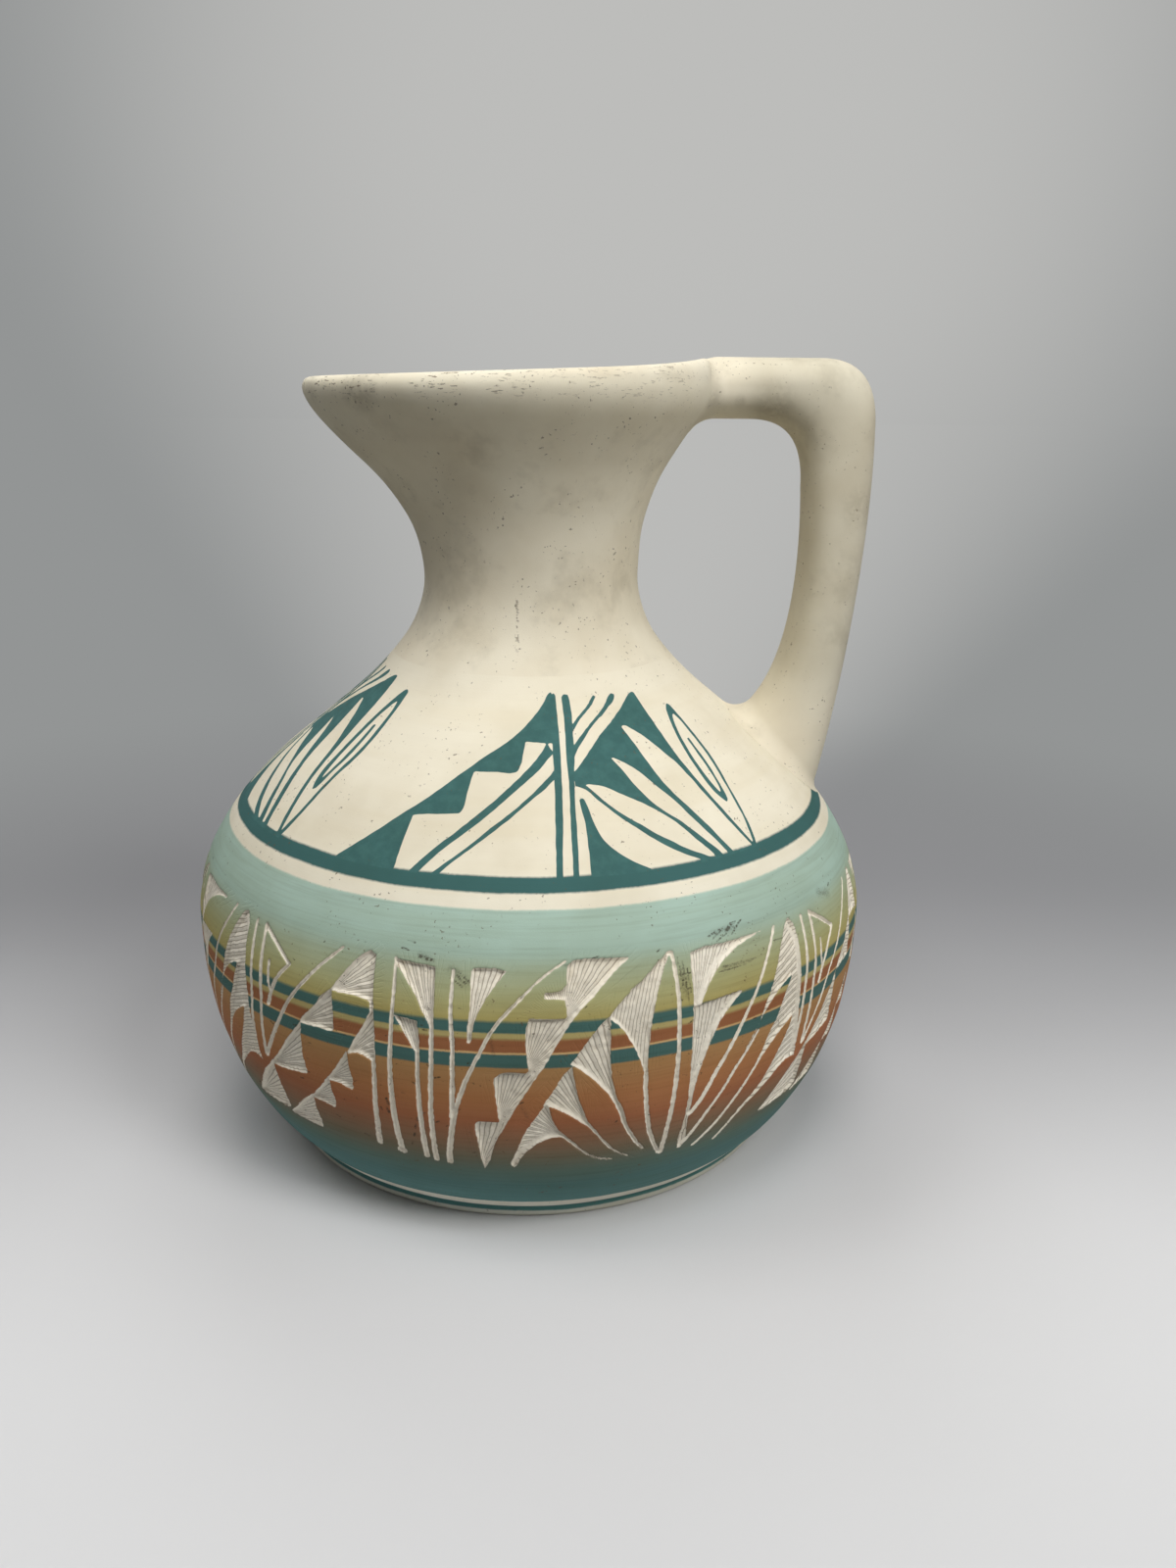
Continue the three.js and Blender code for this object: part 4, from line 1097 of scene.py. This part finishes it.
def rolled(rows, ball, toward):
    """Where each line along the strap meets the fillet's ball, and the rows of the fillet.

    A ball of that radius sits on the strap at point + radius * normal. It also touches the wall
    where its centre lies one radius from the clay. From there the line follows
    centre - radius * direction, as the direction turns from the strap's normal to the wall's.
    """
    points, normals = strap[rows], strap_normal[rows]
    gap = clay_distance(points + ball[None, :, None] * normals) - ball
    order = np.arange(len(points))[:, None]
    touching = gap < 0
    if toward == "start":
        low = np.where(touching, order, 0).max(axis=0)
    else:
        low = np.where(touching, order, len(points) - 1).min(axis=0) - 1
    low = np.clip(low, 0, len(points) - 2)
    column = np.arange(points.shape[1])
    g0, g1 = gap[low, column], gap[low + 1, column]
    share = np.clip(g0 / (g0 - g1), 0, 1)
    place = low + share
    share = share[:, None]
    point = points[low, column] * (1 - share) + points[low + 1, column] * share
    normal = unit(normals[low, column] * (1 - share) + normals[low + 1, column] * share)
    centre = point + ball[:, None] * normal
    wall = clay_normal(centre)
    turn = (np.arange(1, fillet_steps + 1) / fillet_steps)[:, None, None]
    direction = unit((1 - turn) * normal + turn * wall)
    arc = centre - ball[:, None] * direction
    seated = arc[-1] - seat_depth * wall
    return place + rows.start, np.concatenate([arc, seated[None]])


print("the strap has", strap.shape[0], "rows of", strap.shape[1], "points")

# %% [markdown]
# Slip collects where a finger reaches least, so the joint is fuller under the bar than on top of
# it. The ball's radius therefore changes round the strap. Between the two fillets the strap's
# rows are spread again, so that each line along it starts and ends on its own touching point.

# %% Roll the fillets and close the handle
lip_ball_least, lip_ball_under, lip_ball_beside = 1.8, 7.2, 2.6
foot_ball_least, foot_ball_under, foot_search = 5.0, 1.5, 120
strap_rows, pole_depth = 260, 3.0
underneath = (1 - np.cos(around)) / 2
beside = np.abs(np.sin(around))
lip_ball = lip_ball_least + lip_ball_under * underneath ** 2 + lip_ball_beside * beside
foot_ball = foot_ball_least + foot_ball_under * underneath
start_place, start_fillet = rolled(slice(0, bar_steps), lip_ball, "start")
end_place, end_fillet = rolled(slice(len(strap) - foot_search, len(strap)), foot_ball, "end")
place = start_place + (end_place - start_place) * np.linspace(0, 1, strap_rows)[:, None]
low = np.clip(np.floor(place).astype(int), 0, len(strap) - 2)
share = (place - low)[..., None]
column = np.arange(handle_columns)
body_of_strap = strap[low, column] * (1 - share) + strap[low + 1, column] * share
handle_grid = np.concatenate([start_fillet[::-1], body_of_strap, end_fillet])


def seat_pole(ring):
    """The middle of a seated ring, moved along the wall's normal to pole depth under the skin."""
    point = ring.mean(axis=0)
    return point - clay_normal(point[None])[0] * (clay_distance(point[None])[0] + pole_depth)


handle = skin("pitcher_handle", handle_grid,
              seat_pole(handle_grid[0]), seat_pole(handle_grid[-1]))

# %% [markdown]
# ## The finishes
# The clay is matt and chalky. The bands were painted while the pot turned on the wheel, so their
# edges are level and their colour is streaked round the body. A picture texture could hold them,
# but the material can work them out: a colour ramp reads the height of each point, a stretched
# noise gives the brush streaks, and the stored distances switch to teal or to bare clay.

# %% Nodes, places and noise
def linear(colour):
    """sRGB bytes to a shader's linear numbers: c / 12.92 below the knee, else a power."""
    c = np.asarray(colour, dtype=float) / 255
    return [*np.where(c <= 0.04045, c / 12.92, ((c + 0.055) / 1.055) ** 2.4).tolist(), 1.0]


def add(tree, kind, inputs=None, **settings):
    """A node with its settings; an input is a number, a colour or the socket to link."""
    node = tree.nodes.new(kind)
    for key, value in settings.items():
        setattr(node, key, value)
    for key, value in (inputs or {}).items():
        if isinstance(value, bpy.types.NodeSocket):
            tree.links.new(value, node.inputs[key])
        else:
            node.inputs[key].default_value = value
    return node


def in_mm(tree, stretch=(1.0, 1.0, 1.0)):
    """Object coordinates in millimetres, each axis times its stretch."""
    place = add(tree, "ShaderNodeTexCoord").outputs["Object"]
    return add(tree, "ShaderNodeVectorMath", {0: place, 1: [s / MM for s in stretch]},
               operation="MULTIPLY").outputs[0]


def noise(tree, vector, scale, detail=3.0, roughness=0.55):
    """Layered noise: detail is the number of finer layers, roughness the share that each keeps."""
    return add(tree, "ShaderNodeTexNoise", {"Vector": vector, "Scale": scale, "Detail": detail,
                                            "Roughness": roughness}).outputs["Fac"]


def attribute(tree, name):
    """The numbers that a mesh keeps under a name."""
    return add(tree, "ShaderNodeAttribute", attribute_name=name).outputs["Fac"]


def new_material(name):
    """A material with its nodes, and its shader node."""
    material = bpy.data.materials.new(name)
    material.use_nodes = True
    return material, material.node_tree, material.node_tree.nodes["Principled BSDF"]


print("mid grey 128 is", round(linear((128,) * 3)[0], 3), "in linear light")

# %% [markdown]
# Most marks on clay are one recipe: a noise is cut off below a level and fades in up to another,
# and the result lays one colour over the next. A colour ramp could cut it, but a Map Range node
# says it in four numbers: the two levels of the noise, and how much of the colour lies at each.

# %% Ranges, blotches and mixes
def maths(tree, operation, a, b=0.0):
    """One operation on one or two numbers."""
    return add(tree, "ShaderNodeMath", {0: a, 1: b}, operation=operation).outputs[0]


def product(tree, first, *others):
    """first * second * third and so on."""
    for other in others:
        first = maths(tree, "MULTIPLY", first, other)
    return first


def reach(tree, value, low, high, bottom=0.0, top=1.0, soft=True):
    """Maps low..high to bottom..top, eased or straight, and stays there outside."""
    return add(tree, "ShaderNodeMapRange",
               {"Value": value, "From Min": low, "From Max": high, "To Min": bottom, "To Max": top},
               interpolation_type="SMOOTHSTEP" if soft else "LINEAR").outputs["Result"]


def window(tree, value, low, low_end, high, high_end):
    """1 between low_end and high, 0 below low and above high_end, eased at both ends."""
    return product(tree, reach(tree, value, low, low_end),
                   reach(tree, value, high, high_end, 1.0, 0.0))


def blotches(tree, place, scale, detail, span, share=(0.0, 1.0), roughness=0.55, soft=True):
    """Layered noise whose levels from span's low to its high are mapped to share's low to high."""
    return reach(tree, noise(tree, place, scale, detail, roughness), *span, *share, soft)


def mixed(tree, share, under, over, how="MIX"):
    """under where share is 0 and over where it is 1; colours are sockets or sRGB bytes."""
    node = add(tree, "ShaderNodeMix", {"Factor": share}, data_type="RGBA", blend_type=how)
    for socket, value in ((node.inputs[6], under), (node.inputs[7], over)):
        if isinstance(value, bpy.types.NodeSocket):
            tree.links.new(value, socket)
        else:
            socket.default_value = linear(value)
    return node.outputs[2]


print("a quarter of the way into a soft range the colour has", eased(0.25), "of its share")

# %% [markdown]
# The bands were laid on with a brush while the pot turned: a sharp edge is one line of the brush,
# and a fade is two wet colours that met. Each stop is a height and the colour there; two close
# stops make an edge and two far ones a fade. They could be separate materials, but then no fade
# would be possible.

# %% Colours of the bands, from the base up
band_heights = 120.0
bands = [
    (1.9, (222, 222, 208)),
    (2.2, (86, 134, 130)), (4.3, (86, 134, 130)),
    (4.5, (246, 240, 224)), (8.1, (246, 240, 224)),
    (8.3, (99, 143, 141)), (18.0, (88, 125, 122)), (24.0, (97, 121, 110)), (30.0, (120, 114, 93)),
    (42.0, (171, 110, 74)), (50.0, (181, 125, 79)), (58.4, (184, 143, 93)),
    (58.6, (75, 111, 105)), (61.9, (75, 111, 105)),
    (62.05, (237, 195, 135)), (62.6, (237, 195, 135)),
    (62.75, (163, 107, 70)), (66.0, (163, 107, 70)),
    (66.2, (195, 180, 119)), (67.7, (195, 180, 119)),
    (67.85, (76, 114, 108)), (70.7, (76, 114, 108)),
    (70.9, (187, 173, 106)), (76.0, (181, 180, 129)), (82.0, (175, 187, 156)),
    (86.5, (171, 196, 181)), (95.3, (175, 200, 186)),
    (95.5, (239, 232, 211)), (98.6, (239, 232, 211)),
    (98.8, (60, 101, 99)), (101.9, (60, 101, 99)),
]
cream, teal, teal_cloud, bare_clay = (237, 229, 207), (60, 101, 99), (68, 111, 108), (250, 243, 226)
print(len(bands), "stops from the base to", bands[-1][0], "mm")

# %% The chalky clay that all finishes share
mottle_tan, speck_brown = (196, 184, 158), (98, 80, 58)
speck_share, clay_gloss, clay_dullness = 0.65, 0.25, (0.78, 0.92)
grain_levels, grain_bump, grain_height = (0.2, 0.8), 0.35, 0.00012


def chalky(tree, shader, colour, extra_height=None):
    """Specks, fine grain and a dull surface: what every part of the fired clay has."""
    place = in_mm(tree)
    mottle = blotches(tree, place, scale=0.035, detail=4.0, span=(0.35, 0.7), share=(0.0, 0.22))
    colour = mixed(tree, mottle, colour, mottle_tan, "MULTIPLY")
    speck = blotches(tree, place, scale=1.0, detail=2.0, span=(0.67, 0.70))
    sparse = blotches(tree, place, scale=0.11, detail=1.0, span=(0.45, 0.6))
    colour = mixed(tree, product(tree, speck, sparse, speck_share), colour, speck_brown)
    tree.links.new(colour, shader.inputs["Base Color"])
    grainy = noise(tree, place, scale=3.2, detail=4.0, roughness=0.65)
    rough = reach(tree, grainy, *grain_levels, *clay_dullness, soft=False)
    tree.links.new(rough, shader.inputs["Roughness"])
    shader.inputs["Specular IOR Level"].default_value = clay_gloss
    height = grainy if extra_height is None else maths(tree, "ADD", grainy, extra_height)
    bump = add(tree, "ShaderNodeBump", {"Height": height, "Strength": grain_bump,
                                        "Distance": grain_height})
    tree.links.new(bump.outputs["Normal"], shader.inputs["Normal"])


print("specks cover at most", speck_share, "of the colour under them")

# %% Bands and brush streaks
streak_grey, wide_streak_tan = (206, 200, 190), (232, 222, 196)
fine_stretch, wide_stretch = (0.035, 0.035, 1.3), (0.012, 0.012, 0.22)
streak_levels, streak_share, streak_relief = (0.42, 0.75), 0.3, 0.4
cream_line, share_above_it = (95.0, 95.6), 0.12
hand_scale, hand_waver, bristle_scale, bristle_waver = 0.05, 0.35, 0.9, 0.12
top_edge = 0.2


def bands_by_height(tree, height):
    """The ramp's colour at height + two small noises, so an edge wavers as a brushed line does."""
    level = height
    for scale, waver in ((hand_scale, hand_waver), (bristle_scale, bristle_waver)):
        drift = blotches(tree, in_mm(tree), scale, detail=2.0, span=(0.0, 1.0),
                         share=(-waver, waver), soft=False)
        level = maths(tree, "ADD", level, drift)
    share = reach(tree, level, 0.0, band_heights, soft=False)
    ramp = add(tree, "ShaderNodeValToRGB", {"Fac": share})
    stops = bands + [(bands[-1][0] + top_edge, cream)]
    for _ in stops[2:]:
        ramp.color_ramp.elements.new(0.5)
    for element, (z, colour) in zip(ramp.color_ramp.elements, stops):
        element.position = z / band_heights
        element.color = linear(colour)
    return ramp.outputs["Color"]


def streaked(tree, colour, height):
    """Darker streaks round the body, fine and wide, strong below the cream line, faint above."""
    streak = noise(tree, in_mm(tree, fine_stretch), scale=1.0, detail=4.0, roughness=0.6)
    below_line = reach(tree, height, *cream_line, 1.0, share_above_it)
    brushed = product(tree, reach(tree, streak, *streak_levels, 0.0, streak_share), below_line)
    colour = mixed(tree, brushed, colour, streak_grey, "MULTIPLY")
    wide = blotches(tree, in_mm(tree, wide_stretch), scale=1.0, detail=2.0, span=(0.4, 0.7),
                    share=(0.0, 0.15))
    colour = mixed(tree, wide, colour, wide_streak_tan, "MULTIPLY")
    return colour, product(tree, streak, streak_relief)


print("band edges waver by", hand_waver + bristle_waver, "mm at most")

# %% [markdown]
# Where the tool went through the paint the clay is pale and dusty, its ribs hold shade, and a
# thin dark line of painted shade runs just inside each cut's edge. Those could be painted on a
# picture of the belly. The stored distances place them instead: just inside a cut's edge, on the
# crest of a rib's wave, or in a scratch.

# %% The cuts and the wear in the paint
dust_tan, rib_shade = (206, 192, 166), (138, 120, 94)
cut_edge_shade_brown, scratch_brown = (150, 128, 100), (70, 62, 50)
rib_crest, rib_share, rib_relief = (0.4, 1.0), 0.62, 1.2
edge_shade, edge_shade_width = 0.3, 0.2
cut_edge, wear_edge, paint_edge, inner_edge = (-0.05, 0.06), (-0.12, 0.1), (-0.06, 0.07), (0.4, 0.6)


def scraped(tree, colour, relief):
    """Wear over the paint, then bare clay where the distance is positive, ribbed, with painted
    shade in the ribs and along the edge.
    """
    field = attribute(tree, "carved")
    wave = maths(tree, "COSINE", product(tree, attribute(tree, "phase"), 2 * np.pi))
    rib = product(tree, reach(tree, wave, *rib_crest), attribute(tree, "ribbed"))
    dust = blotches(tree, in_mm(tree), scale=1.1, detail=4.0, roughness=0.7, span=(0.45, 0.75),
                    share=(0.0, 0.4))
    clay = mixed(tree, dust, bare_clay, dust_tan)
    clay = mixed(tree, product(tree, rib, rib_share), clay, rib_shade)
    # Painted shade: a thin dark line just inside each cut's edge.
    edge_in_shade = reach(tree, field, 0.0, edge_shade_width, edge_shade, 0.0)
    clay = mixed(tree, edge_in_shade, clay, cut_edge_shade_brown)
    patchy = blotches(tree, in_mm(tree), scale=1.6, detail=2.0, span=(0.4, 0.55),
                      share=(0.25, 0.85))
    worn_away = product(tree, reach(tree, attribute(tree, "wear"), *wear_edge), patchy)
    colour = mixed(tree, worn_away, colour, scratch_brown)
    colour = mixed(tree, reach(tree, field, *cut_edge), colour, clay)
    return colour, maths(tree, "SUBTRACT", relief, product(tree, rib, rib_relief))


def banded_clay(name, carved=False, painted=False):
    """Bands by height, streaks, the painted or the scraped ornament; the inside stays cream."""
    material, tree, shader = new_material(name)
    height = add(tree, "ShaderNodeSeparateXYZ", {0: in_mm(tree)}).outputs["Z"]
    colour, relief = streaked(tree, bands_by_height(tree, height), height)
    if painted:
        cloudy = blotches(tree, in_mm(tree), scale=0.35, detail=4.0, roughness=0.65,
                          span=(0.35, 0.7))
        brushed = mixed(tree, cloudy, teal, teal_cloud)
        colour = mixed(tree, reach(tree, attribute(tree, "painted"), *paint_edge), colour, brushed)
    if carved:
        colour, relief = scraped(tree, colour, relief)
    colour = mixed(tree, reach(tree, attribute(tree, "inner"), *inner_edge), colour, cream)
    chalky(tree, shader, colour, relief)
    return material


foot_clay = banded_clay("banded clay")
carved_clay = banded_clay("carved banded clay", carved=True)
shoulder_clay = banded_clay("painted shoulder clay", painted=True)
print("materials:", [m.name for m in (foot_clay, carved_clay, shoulder_clay)])

# %% [markdown]
# The neck and the handle are plain cream, but not even: smoke clouded them in the kiln, a row of
# pits opened in front of the neck, hands left stains on the handle and the lip, and the rim is
# rubbed. Light is painted in as well: a paler band on the outer lip is a painted highlight, the
# strap is painted darker as shade, and a few soft balls paint the shade at the bar's joint with
# the lip. A brush could paint each mark. Here each is a noise kept to its place, by ranges of x, y
# and height or by its distance from a point.

# %% Marks on the plain clay
flaw_x, flaw_wander, flaw_heights, flaw_brown = -3.9, 1.2, (145.0, 161.2), (108, 92, 68)
flaw_fades, flaw_width, flaw_share, neck_front = (8.0, 0.6), (0.15, 0.5), 0.7, (-20.0, -12.0)
stain_and_shade_brown, stain_core = (126, 114, 86), 0.3
# The first two balls are painted shade in the crease where the bar meets the lip, and the third is
# painted shade on the bar's lower half; the others are grey-brown stains.
stain_and_shade_balls = [
    ((57.4, -9.4, 213.5), 3.0, 0.7), ((48.2, -11.5, 214.5), 5.5, 0.4),
    ((67.0, -8.5, 212.5), 9.0, 0.3), ((96.5, -6.0, 220.5), 4.0, 0.4),
    ((99.5, -4.5, 207.5), 5.0, 0.45), ((93.0, -9.0, 184.0), 9.0, 0.22),
    ((-44.0, -38.0, 214.0), 9.0, 0.3), ((-55.0, -18.0, 215.0), 6.0, 0.3),
]


def kiln_flaw(tree):
    """1 on a short upright row of pits: near a wandering x, between two heights, in front."""
    place = in_mm(tree)
    parts = add(tree, "ShaderNodeSeparateXYZ", {0: place}).outputs
    wander = blotches(tree, place, scale=0.6, detail=2.0, span=(0.0, 1.0),
                      share=(flaw_x - flaw_wander, flaw_x + flaw_wander), soft=False)
    off = maths(tree, "ABSOLUTE", maths(tree, "SUBTRACT", parts["X"], wander))
    broken = blotches(tree, place, scale=1.1, detail=3.0, span=(0.47, 0.56))
    low, high = flaw_heights
    span = window(tree, parts["Z"], low, low + flaw_fades[0], high, high + flaw_fades[1])
    front = reach(tree, parts["Y"], *neck_front, 1.0, 0.0)
    return product(tree, span, reach(tree, off, *flaw_width, flaw_share, 0.0), front, broken)


def stains_and_joint_shade(tree, colour):
    """Grey-brown stains and painted shade at the bar's joint: soft balls with ragged edges,
    each a centre, a radius and a share.
    """
    place = in_mm(tree)
    ragged = blotches(tree, place, scale=0.5, detail=3.0, span=(0.3, 0.6), share=(0.4, 1.0))
    for centre, radius, share in stain_and_shade_balls:
        away = add(tree, "ShaderNodeVectorMath", {0: place, 1: centre}, operation="DISTANCE")
        spot = reach(tree, away.outputs["Value"], stain_core * radius, radius, share, 0.0)
        colour = mixed(tree, product(tree, spot, ragged), colour, stain_and_shade_brown)
    return colour


print(len(stain_and_shade_balls), "stains, and a flaw between", flaw_heights, "mm")

# %% The cream clay of the neck and the handle
# The paler lip colour is a painted highlight and the strap's grey is painted shade; the other
# colours are the clay's own tones.
cloud_tan, smoke_grey, lip_highlight = (226, 214, 188), (176, 166, 142), (248, 240, 216)
strap_shade, rim_brown = (234, 234, 232), (104, 86, 62)
lip_side_heights, rim_heights = (202.0, 214.0, 216.5, 219.0), (211.5, 215.5)
handle_joint, strap_begins, strap_heights = (40.0, 56.0), (54.0, 64.0), (120.0, 142.0)
rub_stretch, spout_side, least_rubbed = (0.45, 0.45, 2.0), (20.0, -35.0), 0.55


def cream_clay(name):
    """Cream with smoke clouds, a painted highlight on the lip, painted shade on the strap, a rubbed
    rim, the flaw, and stains together with painted shade at the bar's joint.
    """
    material, tree, shader = new_material(name)
    place = in_mm(tree)
    parts = add(tree, "ShaderNodeSeparateXYZ", {0: place}).outputs
    height = parts["Z"]
    cloud = blotches(tree, place, scale=0.022, detail=3.0, span=(0.4, 0.72), share=(0.0, 0.6))
    smoke = blotches(tree, place, scale=0.06, detail=4.0, roughness=0.65, span=(0.5, 0.72),
                     share=(0.0, 0.3))
    colour = mixed(tree, smoke, mixed(tree, cloud, cream, cloud_tan), smoke_grey)
    off_the_handle = reach(tree, parts["X"], *handle_joint, 1.0, 0.0)
    # Painted highlight: a paler band round the outer lip, away from the handle.
    lip_highlight_band = product(tree, window(tree, height, *lip_side_heights), off_the_handle)
    colour = mixed(tree, lip_highlight_band, colour, lip_highlight)
    # Painted shade: the strap, from its joint outwards and above the shoulder, is multiplied
    # darker.
    strap_in_shade = product(tree, reach(tree, parts["X"], *strap_begins),
                           reach(tree, height, *strap_heights))
    colour = mixed(tree, strap_in_shade, colour, strap_shade, "MULTIPLY")
    flecked = blotches(tree, in_mm(tree, rub_stretch), scale=0.9, detail=4.0, roughness=0.65,
                       span=(0.58, 0.63), share=(0.0, 0.8))
    patches = blotches(tree, place, scale=0.075, detail=2.0, span=(0.42, 0.54))
    to_the_spout = reach(tree, parts["X"], *spout_side, least_rubbed, 1.0)
    rubbed = product(tree, flecked, patches, reach(tree, height, *rim_heights), off_the_handle,
                     to_the_spout)
    colour = mixed(tree, rubbed, colour, rim_brown)
    colour = stains_and_joint_shade(tree, mixed(tree, kiln_flaw(tree), colour, flaw_brown))
    chalky(tree, shader, colour)
    return material


plain_clay = cream_clay("cream clay")
print("and", plain_clay.name)

# %% [markdown]
# A fired pitcher is one piece of clay, so every piece here rides on the same body. Each one also
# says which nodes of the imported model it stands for: the rings of the belly share the body's
# node, and the joints of slip vanish into the neck and the handle, as the potter's sponge made
# them vanish.

# %% Each piece gets its finish, its body and the nodes that it stands for
for piece, material, slot, nodes in (
    [(base, foot_clay, "banded_clay", ["vessel_body"])]
    + [(piece, carved_clay, "banded_clay", ["vessel_body"]) for piece in belly]
    + [(piece, shoulder_clay, "banded_clay", ["vessel_body"]) for piece in shoulder]
    + [(neck, plain_clay, "cream_clay", ["neck_luting_ring", "neck_and_spout"]),
       (handle, plain_clay, "cream_clay",
        ["strap_handle", "handle_top_luting", "handle_foot_luting"])]
):
    piece.data.materials.append(material)
    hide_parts(*nodes)
    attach(piece, "root")
    print(piece.name, "stands for", nodes)

# %% [markdown]
# ## Floor, tent and light
# The pitcher stands on a plain pale floor inside a white light tent. A curved paper wall behind
# it would stand in the way of every view from the back, so there is only the floor: it keeps the
# shadow near the pitcher, its paper is painted darker towards the back as shade, and far out it
# becomes an emission in the tone of the tent, which the world shows to the camera: a painted
# glow. Only the paper close by throws light up under the belly; farther out the floor is a dark
# table to all rays but the camera's, so the hollow of the neck stays in shade. The lamps are soft
# boxes in front to the right, above and at the left, and a faint one at the right. They come down
# steeply, so the shoulder is bright while the belly's underside and the hollow under the mouth
# fall dark. One behind the pitcher keeps its back readable when it is looked at from there.

# %% The tent's tone and the floor
tent_middle = unit(np.array([0.1, 0.97, 0.2]))
tent_dull, tent_bright, tent_glow = (147, 149, 149), (189, 189, 187), (0.88, 1.0)
floor_size, paper_ends, tent_starts = 20.0, 190.0, 560.0
paper_near, paper_far_shade, paper_shade_fade = (216, 216, 216), (146, 146, 148), (-150.0, 190.0)
bounce_near, bounce_far, bounce_fade = (200, 200, 201), (92, 92, 93), (120.0, 260.0)
paper_dullness, paper_gloss = 0.7, 0.2


def tent_tone(tree, direction):
    """Pale grey, brightest towards the tent's middle: a ramp over the cosine to that middle."""
    toward = add(tree, "ShaderNodeVectorMath", {0: direction}, operation="NORMALIZE").outputs[0]
    cosine = add(tree, "ShaderNodeVectorMath", {0: toward, 1: tent_middle.tolist()},
                 operation="DOT_PRODUCT").outputs["Value"]
    return mixed(tree, reach(tree, cosine, *tent_glow), tent_dull, tent_bright)


def seen_directly(tree):
    """1 for rays from the camera and for those in a reflection or through glass, else 0."""
    path = add(tree, "ShaderNodeLightPath").outputs
    mirrored = maths(tree, "MAXIMUM", path["Is Glossy Ray"], path["Is Transmission Ray"])
    return maths(tree, "MAXIMUM", path["Is Camera Ray"], mirrored)


floor_mesh = bpy.data.meshes.new("floor")
half = floor_size / 2
floor_mesh.from_pydata([(-half, -half, 0), (half, -half, 0), (half, half, 0), (-half, half, 0)],
                       [], [(0, 1, 2, 3)])
ground = bpy.data.objects.new("floor", floor_mesh)
bpy.context.scene.collection.objects.link(ground)

paper, tree, shader = new_material("floor paper")
place = in_mm(tree)
backwards = add(tree, "ShaderNodeSeparateXYZ", {0: place}).outputs["Y"]
# Painted shade: the paper that the camera sees is darker towards the back.
pale = mixed(tree, reach(tree, backwards, *paper_shade_fade), paper_near, paper_far_shade)
seen = seen_directly(tree)
distance = add(tree, "ShaderNodeVectorMath", {0: place}, operation="LENGTH").outputs["Value"]
unseen = mixed(tree, reach(tree, distance, *bounce_fade), bounce_near, bounce_far)
tree.links.new(mixed(tree, seen, unseen, pale), shader.inputs["Base Color"])
shader.inputs["Roughness"].default_value = paper_dullness
shader.inputs["Specular IOR Level"].default_value = paper_gloss
# Far out the camera sees an emission in the tent's tone instead: a painted glow, brightest towards
# the tent's middle.
far_out = product(tree, reach(tree, distance, paper_ends, tent_starts), seen)
tent = add(tree, "ShaderNodeEmission", {"Color": tent_tone(tree, place)})
blend = add(tree, "ShaderNodeMixShader", {0: far_out, 1: shader.outputs[0], 2: tent.outputs[0]})
tree.links.new(blend.outputs[0], tree.nodes["Material Output"].inputs["Surface"])
floor_mesh.materials.append(paper)
print("the floor is", floor_size, "m wide, its paper ends at", paper_ends, "mm")

# %% The world is the tent
world_grey, world_strength = (188, 188, 190), 0.2
world = bpy.data.worlds.new("light tent")
world.use_nodes = True
tree = world.node_tree
lighting = tree.nodes["Background"]
lighting.inputs["Color"].default_value = linear(world_grey)
lighting.inputs["Strength"].default_value = world_strength
direction = add(tree, "ShaderNodeTexCoord").outputs["Generated"]
shown = add(tree, "ShaderNodeBackground", {"Color": tent_tone(tree, direction), "Strength": 1.0})
blend = add(tree, "ShaderNodeMixShader",
            {0: seen_directly(tree), 1: lighting.outputs[0], 2: shown.outputs[0]})
tree.links.new(blend.outputs[0], tree.nodes["World Output"].inputs["Surface"])
bpy.context.scene.world = world
print("the world's light has a strength of", world_strength)

# %% Soft light: name, place, size and power of each lamp
aim, back_and_up = (0, 0, 0.1), (0.0, 1.0, 0.02)
lamps = (
    ("front right", (0.475, -0.56, 0.8), 0.35, 4.9),
    ("left", (-0.5, -0.1, 0.85), 0.35, 1.6),
    ("above", (0, -0.28, 0.95), 0.35, 1.5),
    ("above the camera", (0, -0.46, 0.85), 0.35, 1.6),
    ("right", (0.6, -0.15, 0.75), 0.4, 0.4),
    ("behind", (-0.1, 0.65, 0.75), 0.5, 2.2),
)


def softbox(name, place, size, power):
    """A square area light that looks at the pitcher: its own z axis is (place - aim) / length."""
    lamp = bpy.data.lights.new(name, "AREA")
    lamp.shape = "RECTANGLE"
    lamp.size, lamp.size_y = size, size
    lamp.energy = power
    holder = bpy.data.objects.new(name, lamp)
    away = unit(np.array(place, dtype=float) - np.array(aim, dtype=float))
    side = unit(np.cross(back_and_up, away))
    axes = np.column_stack([side, np.cross(away, side), away])
    holder.matrix_world = Matrix.Translation(place) @ Matrix(axes.tolist()).to_4x4()
    bpy.context.scene.collection.objects.link(holder)


for lamp in lamps:
    softbox(*lamp)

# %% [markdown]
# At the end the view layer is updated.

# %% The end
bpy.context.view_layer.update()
